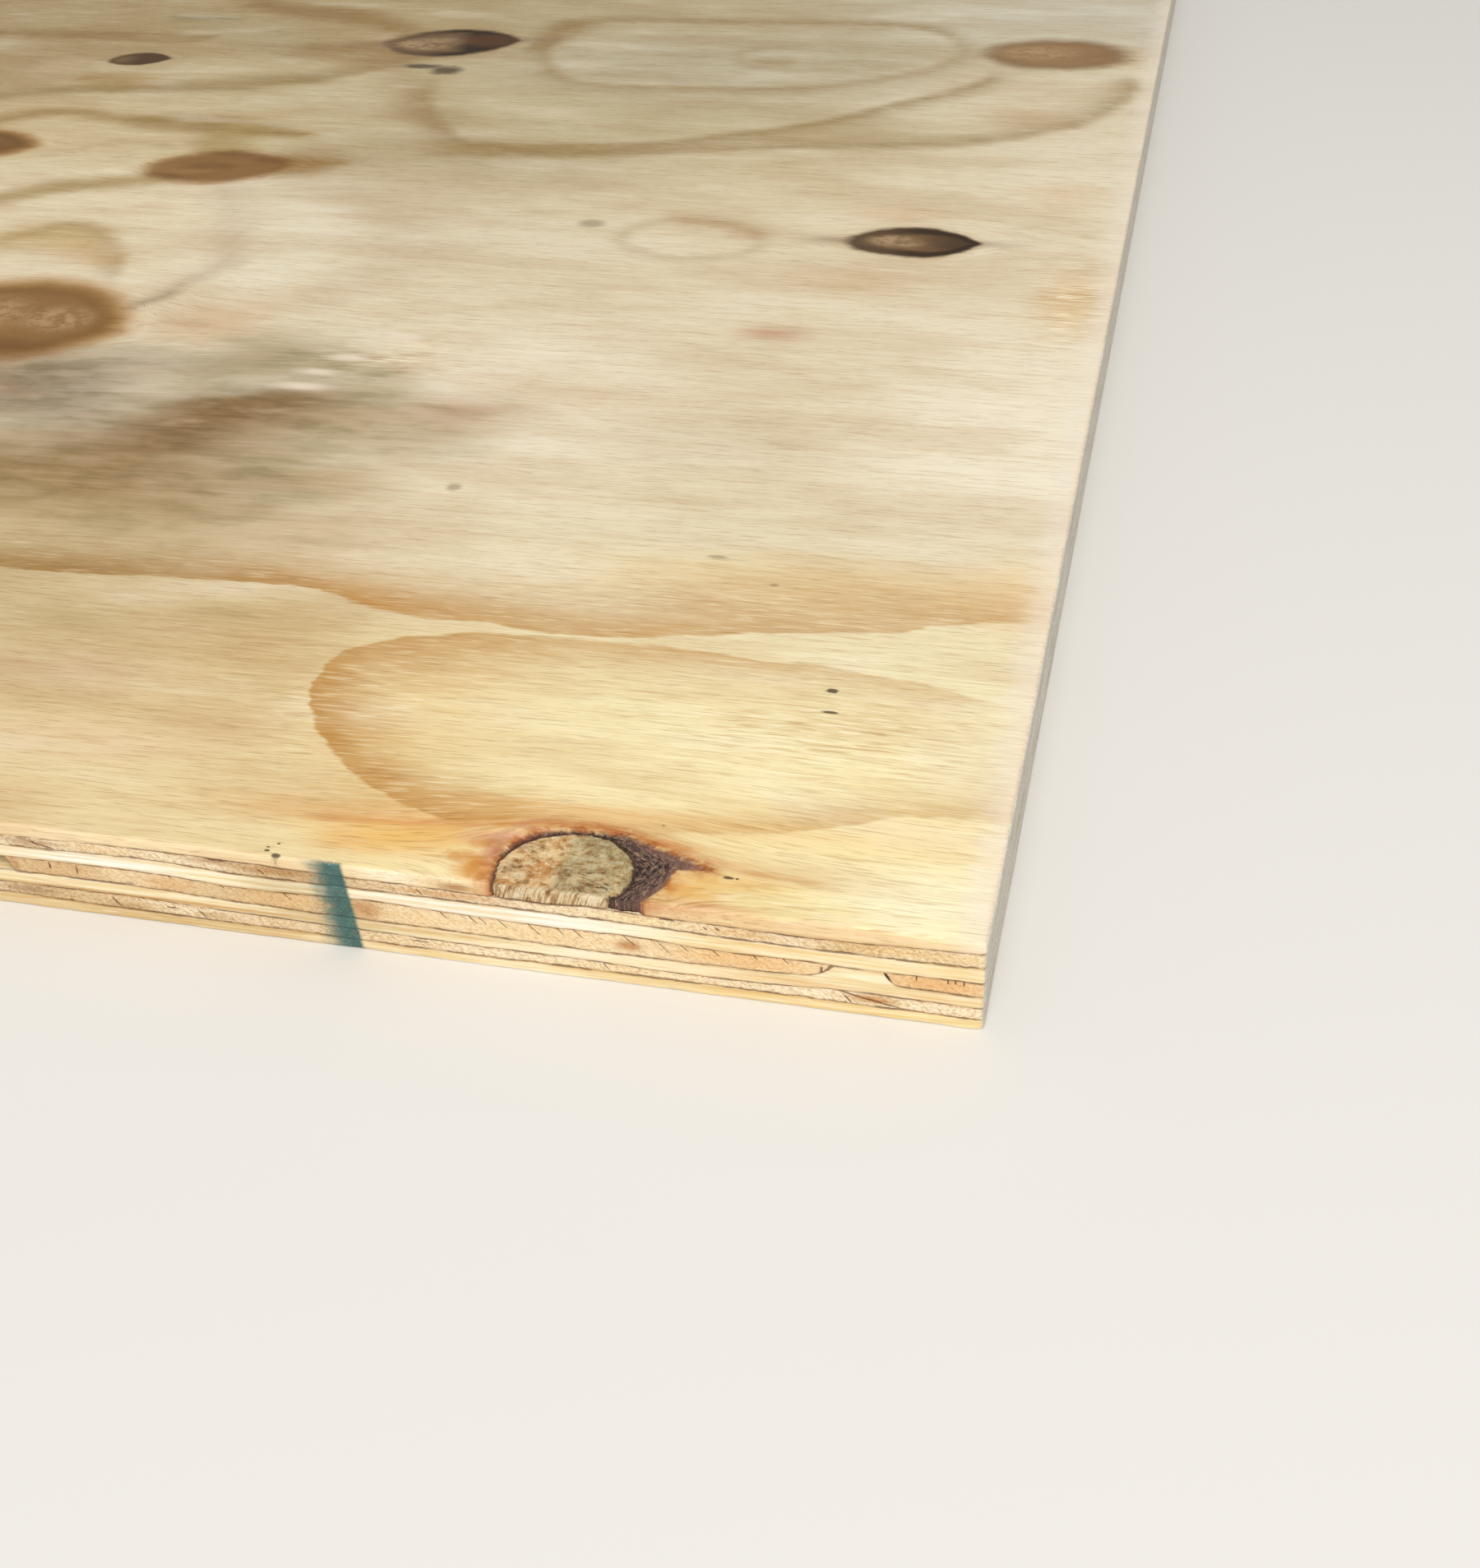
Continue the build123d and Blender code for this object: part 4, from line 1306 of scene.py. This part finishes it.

# Painted shadow: grey-brown blotches laid into the wood left of the middle of the view, where a soft shadow
# falls across the face
painted_shadow_patches = [
    (-260, 170, 34, 22, "a1917a", 0.95), (-285, 158, 26, 18, "9c8b72", 0.9),
    (-240, 190, 18, 9, "b5a58c", 0.7), (-242, 150, 24, 13, "b8a890", 0.8),
    (-198, 130, 30, 14, "c1ac88", 0.8), (-190, 112, 44, 9, "cbb48c", 0.6),
    (-208, 193, 15, 15, "a1916c", 0.9), (-194, 190, 8, 10, "b3a078", 0.7),
    (-178, 179, 13, 11, "aa9a6c", 0.85), (-192, 166, 12, 12, "a3926f", 0.9),
    (-172, 159, 26, 12, "b79f76", 0.85), (-154, 173, 15, 6, "bf9c7a", 0.7),
    (-179, 137, 19, 13, "ae9c76", 0.85), (-150, 150, 12, 8, "bfaa88", 0.6),
    (-162, 134, 16, 8, "cdb48c", 0.6), (-200, 167, 18, 9, "8d7044", 1), (-210, 158, 19, 9, "917246", 0.95),
    (-216, 146, 18, 10, "9a7c50", 0.9), (-224, 132, 24, 10, "9d8053", 0.85),
    (-242, 123, 28, 9, "a0845a", 0.85), (-266, 122, 26, 11, "9a7f55", 0.85),
    (-216, 118, 26, 9, "a68a5c", 0.8), (-226, 106, 32, 7, "b59c6e", 0.6), (-262, 110, 24, 8, "a3875a", 0.7),
    (-176.5, 209.6, 7, 4.5, "f6e6c8", 0.8), (-170.5, 203.5, 4, 3.5, "f2e0c0", 0.7),
    (-232, 215, 14, 5, "dfc09a", 0.6), (-238, 186, 7, 4, "c8b8a2", 0.6), (-171, 192, 6, 3, "e6ccaa", 0.6),
]
warped_x = x + 4.0 * drift(x, y, 70, 45, 51)
warped_y = y + 2.6 * drift(x, y, 70, 45, 52)
shade_smudge = np.zeros(len(x))
shade_smudge_layers = [(power * soft_patch(warped_x, warped_y, patch, 1.2, 0.8), code) for *patch, code, power in painted_shadow_patches]
# The same grey-brown blotches, thinly scattered over the sheet beyond the view
for seed, code in ((95, "97794b"), (96, "ae9c76"), (97, "b3a28c")):
    shade_smudge_layers.append((0.6 * ease(drift(x, y, 500, 220, seed), 1.3, 2.3) * beyond_view, code))
for share, code in shade_smudge_layers:
    tone = over_tone(tone, share, code)
    shade_smudge = np.maximum(shade_smudge, share)
note(face_mesh, "shade_smudge", shade_smudge)

# Resin drawn out along the grain above the front knot
across, _, strength = ring_traces(x, y, [(resin_line, (7, 7), (0.7, 0.95, 0.95, 0.6))]).T
resin = np.where(across > 0, np.exp(-across / 2.2), np.exp(-(across / 0.7) ** 2)) * strength
resin *= 0.55 + 0.45 * grit(x / 5.0, y / 0.8, 35)
tone = over_tone(tone, np.clip(resin, 0, 0.9), "cf8a44")

# The sawn edge of the face veneer has its own tone
face_edge_patches = [
    (-145, 17.2, 36, 2, "efd8ae", 0.8), (-101, 17.2, 6, 2, "fbf0d2", 0.9),
    (-89, 16.6, 3.2, 0.8, "a9733f", 0.8), (-50, 17.6, 7, 1, "d99f6c", 0.8),
    (-40, 16.8, 14, 1.6, "f4d8a8", 0.8), (-20, 17, 14, 1.6, "f1d3a4", 0.8), (-5, 17, 6, 1.6, "f6dfb0", 0.8),
]
on_wall = (z < 17.9) | (y < 0.5) | (y > sheet_width - 0.5) | (x > -0.8) | (x < 0.8 - sheet_length)
tone = np.where(on_wall[:, None], edge_tone(face_place, "f3dcb0", face_edge_patches), tone)
note(face_mesh, "tone", tone)

# Places where the knife tore the wood and left pale flecks
torn_places = [
    (-35, 52, 32, 14, 1), (-125, 50, 16, 18, 0.7), (-100, 24, 22, 8, 0.5), (-182, 196, 24, 12, 1),
    (-10, 260, 12, 28, 1), (-195, 135, 16, 8, 0.2), (-244, 186, 16, 10, 0.3), (-60, 95, 70, 10, 0.4),
    (-28, 4, 16, 5, 0.6), (-700, 500, 160, 60, 0.7), (-1400, 800, 200, 90, 0.7), (-2000, 300, 200, 90, 0.7),
]
torn = np.zeros(len(x))
for *patch, power in torn_places:
    torn = np.maximum(torn, power * soft_patch(x, y, patch))
note(face_mesh, "torn", torn)

face_pine, shader = new_material("face_pine", 0.6, 0.18)
f = Finish(face_pine.node_tree)
x, y, z = f.effect(place_group)
wood, fibre, ragged = peeled_pine(f, x, z, "bd8848")
far_tint = f.step(y, 110, 330)
near_brown = f.mix(f.step(x, -200, -130), "a67f48", "c28e48")
ring_brown = f.mix(far_tint, near_brown, "9c7f4c")
torn = f.read("torn", "Fac")
# The painted shadow dulls the wood: it hides the pale flecks and weakens the fibre
shade_smudge = f.read("shade_smudge", "Fac")
clear_of_shade_smudge = f.step(shade_smudge, 0, 0.7, 1, 0.15)
flecks = f.times(f.step(fibre["Fleck"], 0.55, 0.68), f.scaled(torn, 0.65, 0.1), clear_of_shade_smudge)
wood = f.mix(flecks, wood, "fff3d2")
ring_edge = f.scaled(far_tint, 3.2, 0.5)
clouded = f.cells((x, y), (0.04, 0.11), 2, 0.5, 15)
for name in ("rings_a", "rings_b"):
    across, breadth, shown = f.split(f.read(name))
    across = f.plus(across, f.times(ragged, 0.6))
    faded = f.sum("POWER", f.step(f.sum("DIVIDE", across, breadth), 1.05, -0.1), 1.7)
    starts = f.step(f.sum("DIVIDE", across, ring_edge), -1, 1)
    grained = f.step(fibre["Fleck"], 0.54, 0.66, 1, 0.62)
    band = f.times(starts, faded, shown, grained, f.step(clouded, 0.35, 0.55, 0.82, 1))
    wood = f.mix(f.sum("MULTIPLY", band, 0.92, clamp=True), wood, ring_brown)
wood = f.stain(f.times(f.step(fibre["Fleck"], 0.45, 0.3), torn, 0.5), wood, "c99f66")
wood = f.stain(f.times(f.step(fibre["Fibre"], 0.48, 0.32, 0, 0.36), clear_of_shade_smudge), wood, "b48c54")
# Grey-brown blotches of the painted shadow
broken = f.cells((x, y), (0.05, 0.13), 3, 0.6, 3)
wood = f.stain(f.times(shade_smudge, f.step(broken, 0.56, 0.34), 0.55), wood, "a8a47c")
wood = f.mix(f.times(shade_smudge, f.step(broken, 0.5, 0.72), 0.45), wood, "cdb294")
wood, disc = with_knots(f, wood)

wood_depth, bark_depth, _ = f.split(f.read("edge_knot"))
crumb = f.plus(f.cells((x, y, z), (1, 1, 1), 3, 0.65), -0.5)
wood_depth = f.scaled(crumb, 1.2, wood_depth)
bark_depth = f.plus(f.scaled(crumb, 1.3, bark_depth), f.step(x, -62, -68, 0, -0.4))
on_front = f.step(f.scaled(crumb, 1.6, y), 1.1, 0.3)
cell = f.cells((x, y, z), (0.7, 0.3, 0.3), 4, 0.7)
crackle = f.step(f.size(f.plus(cell, -0.5)), 0.028, 0)
slanted = f.plus(x, f.times(z, -0.35), f.times(y, -0.7))
saw_lines = f.cells((slanted, z), (1.7, 0.12), 3, 0.7, 7)
patchy = f.cells((x, y, z), (0.3, 0.24, 0.3), 3, 0.6)
strands = f.cells((x, y, z), (0.5, 0.8, 0.4), 4, 0.62)
pith_x, pith_y = -71.4, 5.8
from_pith_x, from_pith_y = f.plus(x, -pith_x), f.plus(y, -pith_y)
from_pith = f.sum("SQRT", f.plus(f.times(from_pith_x, from_pith_x), f.times(from_pith_y, from_pith_y), 0.3))
ray_x, ray_y = f.sum("DIVIDE", from_pith_x, from_pith), f.sum("DIVIDE", from_pith_y, from_pith)
rays = f.cells((ray_x, ray_y, from_pith), (6, 6, 0.3), 3, 0.7)
on_face = f.join(x, y)
knot_wood = f.mix(f.step(patchy, 0.36, 0.6), "dba162", "fbd8a0")
green_half = f.step(f.scaled(crumb, 3, x), -74, -71.5)
green = f.times(green_half, f.step(f.plus(patchy, crumb), 0.8, 0.35, 0.35, 1))
knot_wood = f.mix(f.times(green, 0.75), knot_wood, "a9a27a")
knot_wood = f.mix(f.step(strands, 0.47, 0.35, 0, 0.75), knot_wood, "a06f3c")
pale_wood = f.mix(green_half, "ffe9bc", "d8d0a8")
knot_wood = f.mix(f.step(strands, 0.51, 0.62, 0, 0.7), knot_wood, pale_wood)
knot_stains = [(-80.4, 5, 2.4, 2.2), (-79.2, 11.2, 2.8, 1.2), (-71.4, 4.8, 1.3, 1.2), (-66, 2.2, 4, 1.2)]
wavy = f.plus(crumb, crumb, 0.5)
stained = f.times(spots(f, on_face, knot_stains, wavy, 0.5), f.step(strands, 0.58, 0.4, 0.2, 0.75))
knot_wood = f.mix(stained, knot_wood, "8a5c38")
knot_wood = f.mix(f.times(crackle, f.step(patchy, 0.62, 0.45, 0.1, 0.5)), knot_wood, "6b4626")
low_right = f.times(f.step(x, -76, -70, 0.35, 1), f.step(y, 10, 5, 0.35, 1))
knot_wood = f.mix(f.times(f.step(rays, 0.45, 0.34), low_right, 0.8), knot_wood, "553f26")
front_wood = f.mix(f.step(saw_lines, 0.4, 0.6), "b08a58", "f6dfb6")
front_wood = f.mix(f.step(patchy, 0.5, 0.64, 0, 0.7), front_wood, "fbeccb")
front_wood = f.stain(f.times(f.step(patchy, 0.46, 0.36), 0.6), front_wood, "b99066")
knot_wood = f.mix(on_front, knot_wood, front_wood)
layers = f.cells((bark_depth, x, y), (1.7, 0.9, 0.7), 5, 0.8)
bark = f.mix(f.step(layers, 0.42, 0.56), "33282a", "876c5c")
bark = f.mix(f.step(layers, 0.54, 0.66, 0, 0.85), bark, "c4a286")
pinker = f.times(f.step(bark_depth, 2.4, 0.2), f.step(x, -66, -58))
bark = f.mix(f.times(pinker, 0.5), bark, "9c7264")
bark = f.mix(f.step(x, -76, -81, 0, 0.75), bark, "84533c")
in_bark = f.times(f.step(bark_depth, -0.5, 0.5), f.step(x, -53.5, -48.5, 1, 0.55))
in_wood = f.step(wood_depth, -0.25, 0.3)
outline = f.times(f.step(f.size(f.plus(wood_depth, 0.3)), 0.6, 0.05), in_bark)
broad = f.cells((x, y), (0.28, 0.45), 3, 0.7, 13)
inner_bark = [(-82.4, 13.4, 3.4, 1.5), (-85.4, 8.8, 1.3, 2.6), (-79, 15.9, 3, 0.7)]
resin_blots = [
    (-84.9, 1.6, 1.2, 1.6), (-87.2, 10.6, 2.2, 1.3), (-86.8, 4.2, 1.1, 2.6), (-90.5, 6.5, 2.4, 1.2),
]
for places, soft, most, code in ((inner_bark, 0.6, 0.6, "dba688"), (resin_blots, 0.8, 0.7, "cb8a3c")):
    wood = f.mix(f.times(spots(f, on_face, places, wavy, soft), most), wood, code)
bark_line = f.step(f.size(f.scaled(crumb, 1.5, f.plus(bark_depth, 3.4))), 1.3, 0)
wood = f.mix(f.times(bark_line, f.step(y, 6, 11), f.step(x, -72, -80), 0.3), wood, "b0705a")
wood = f.stain(f.times(f.step(bark_depth, -4.5, 0.6), f.step(broad, 0.36, 0.6, 0.2, 0.8)), wood, "cf8a44")
wood = f.stain(f.times(f.step(bark_depth, -1.2, 0.2), f.step(broad, 0.36, 0.56, 0.2, 0.7)), wood, "b57a4a")
wood = f.mix(in_bark, wood, bark)
wood = f.mix(in_wood, wood, knot_wood)
wood = f.mix(f.times(outline, 0.7), wood, "3d271c")

dark_marks = [
    (-36.8, 60.2, 1.5, 0.42), (-37.8, 67.4, 1.1, 0.8), (-44.2, 9, 0.85, 0.38), (-42.7, 9, 0.3, 0.25),
    (-58.4, 20.9, 0.3, 0.13), (-121.2, 0.6, 0.8, 0.5), (-123.2, 1.7, 0.5, 0.3), (-122, 3.8, 0.35, 0.22),
    (-123.4, 2.6, 0.4, 0.2),
]
faint_marks = [
    (-56.8, 104, 0.9, 0.6), (-71, 113.4, 2.2, 0.7), (-136.8, 134.1, 1.6, 1.5), (-153, 299, 3.5, 3),
]
pale_marks = [(-192.7, 179.4, 6, 2), (-192, 188, 5, 1.7), (-188, 197.3, 5.5, 1.7), (-178, 212, 5, 2)]
light_knot_places = [
    (-302, 210, 18, 11), (-276, 209, 10, 8), (-64, 298, 7, 4), (-42, 486, 14, 8), (-269, 470, 11, 7),
]
dark_knot_places = [
    (-292, 190, 26, 5), (-289, 331, 8, 3.5), (-244, 478, 11, 8), (-270, 340, 8, 4), (-286, 343.5, 12, 2.5),
    (-300, 320, 9, 2.5), (-384, 341, 12, 8),
]
comma = [(-248.5, 439.5, 5.5, 5), (-259, 443.5, 8, 2.6)]
soft_edge = f.plus(f.times(ragged, 0.12), 0.5)
mottle = f.cells((x, y), (0.22, 0.26), 3, 0.65, 21)
light_share = f.times(disc, f.step(mottle, 0.42, 0.58, 0.15, 0.65))
marks = [
    (light_knot_places, mottle, 0.5, light_share, "c2a077"),
    (dark_knot_places, mottle, 0.5, f.times(disc, 0.5), "6b4620"),
    (comma, mottle, 0.5, 0.85, "48361e"), (pale_marks, soft_edge, 0.8, 0.75, "f1e2cc"),
    (faint_marks, soft_edge, 0.6, 0.55, "856b4e"), (dark_marks, f.plus(crumb, 0.5), 0.35, 0.85, "33231a"),
]
for places, ragged_edge, soft, most, code in marks:
    wood = f.mix(f.times(spots(f, on_face, places, ragged_edge, soft), most), wood, code)
from_end = f.scaled(f.cells((x, y), (0.2, 0.12), 3, 0.6, 9), 8, x)
overspray = f.step(from_end, -4.5, 3, 0, 0.45)
wood = f.mix(overspray, wood, "f3e8da")
relief = f.plus(f.times(cell, in_wood, 3), f.times(layers, in_bark, 3))
height = f.scaled(fibre["Fibre"], 0.7, relief)
edge_finish(f, shader, wood, height, f.step(bark_depth, -0.8, 0.4, 0.6, 0.85), x, y, z)
fit("face_veneer", face_mesh, face_pine)
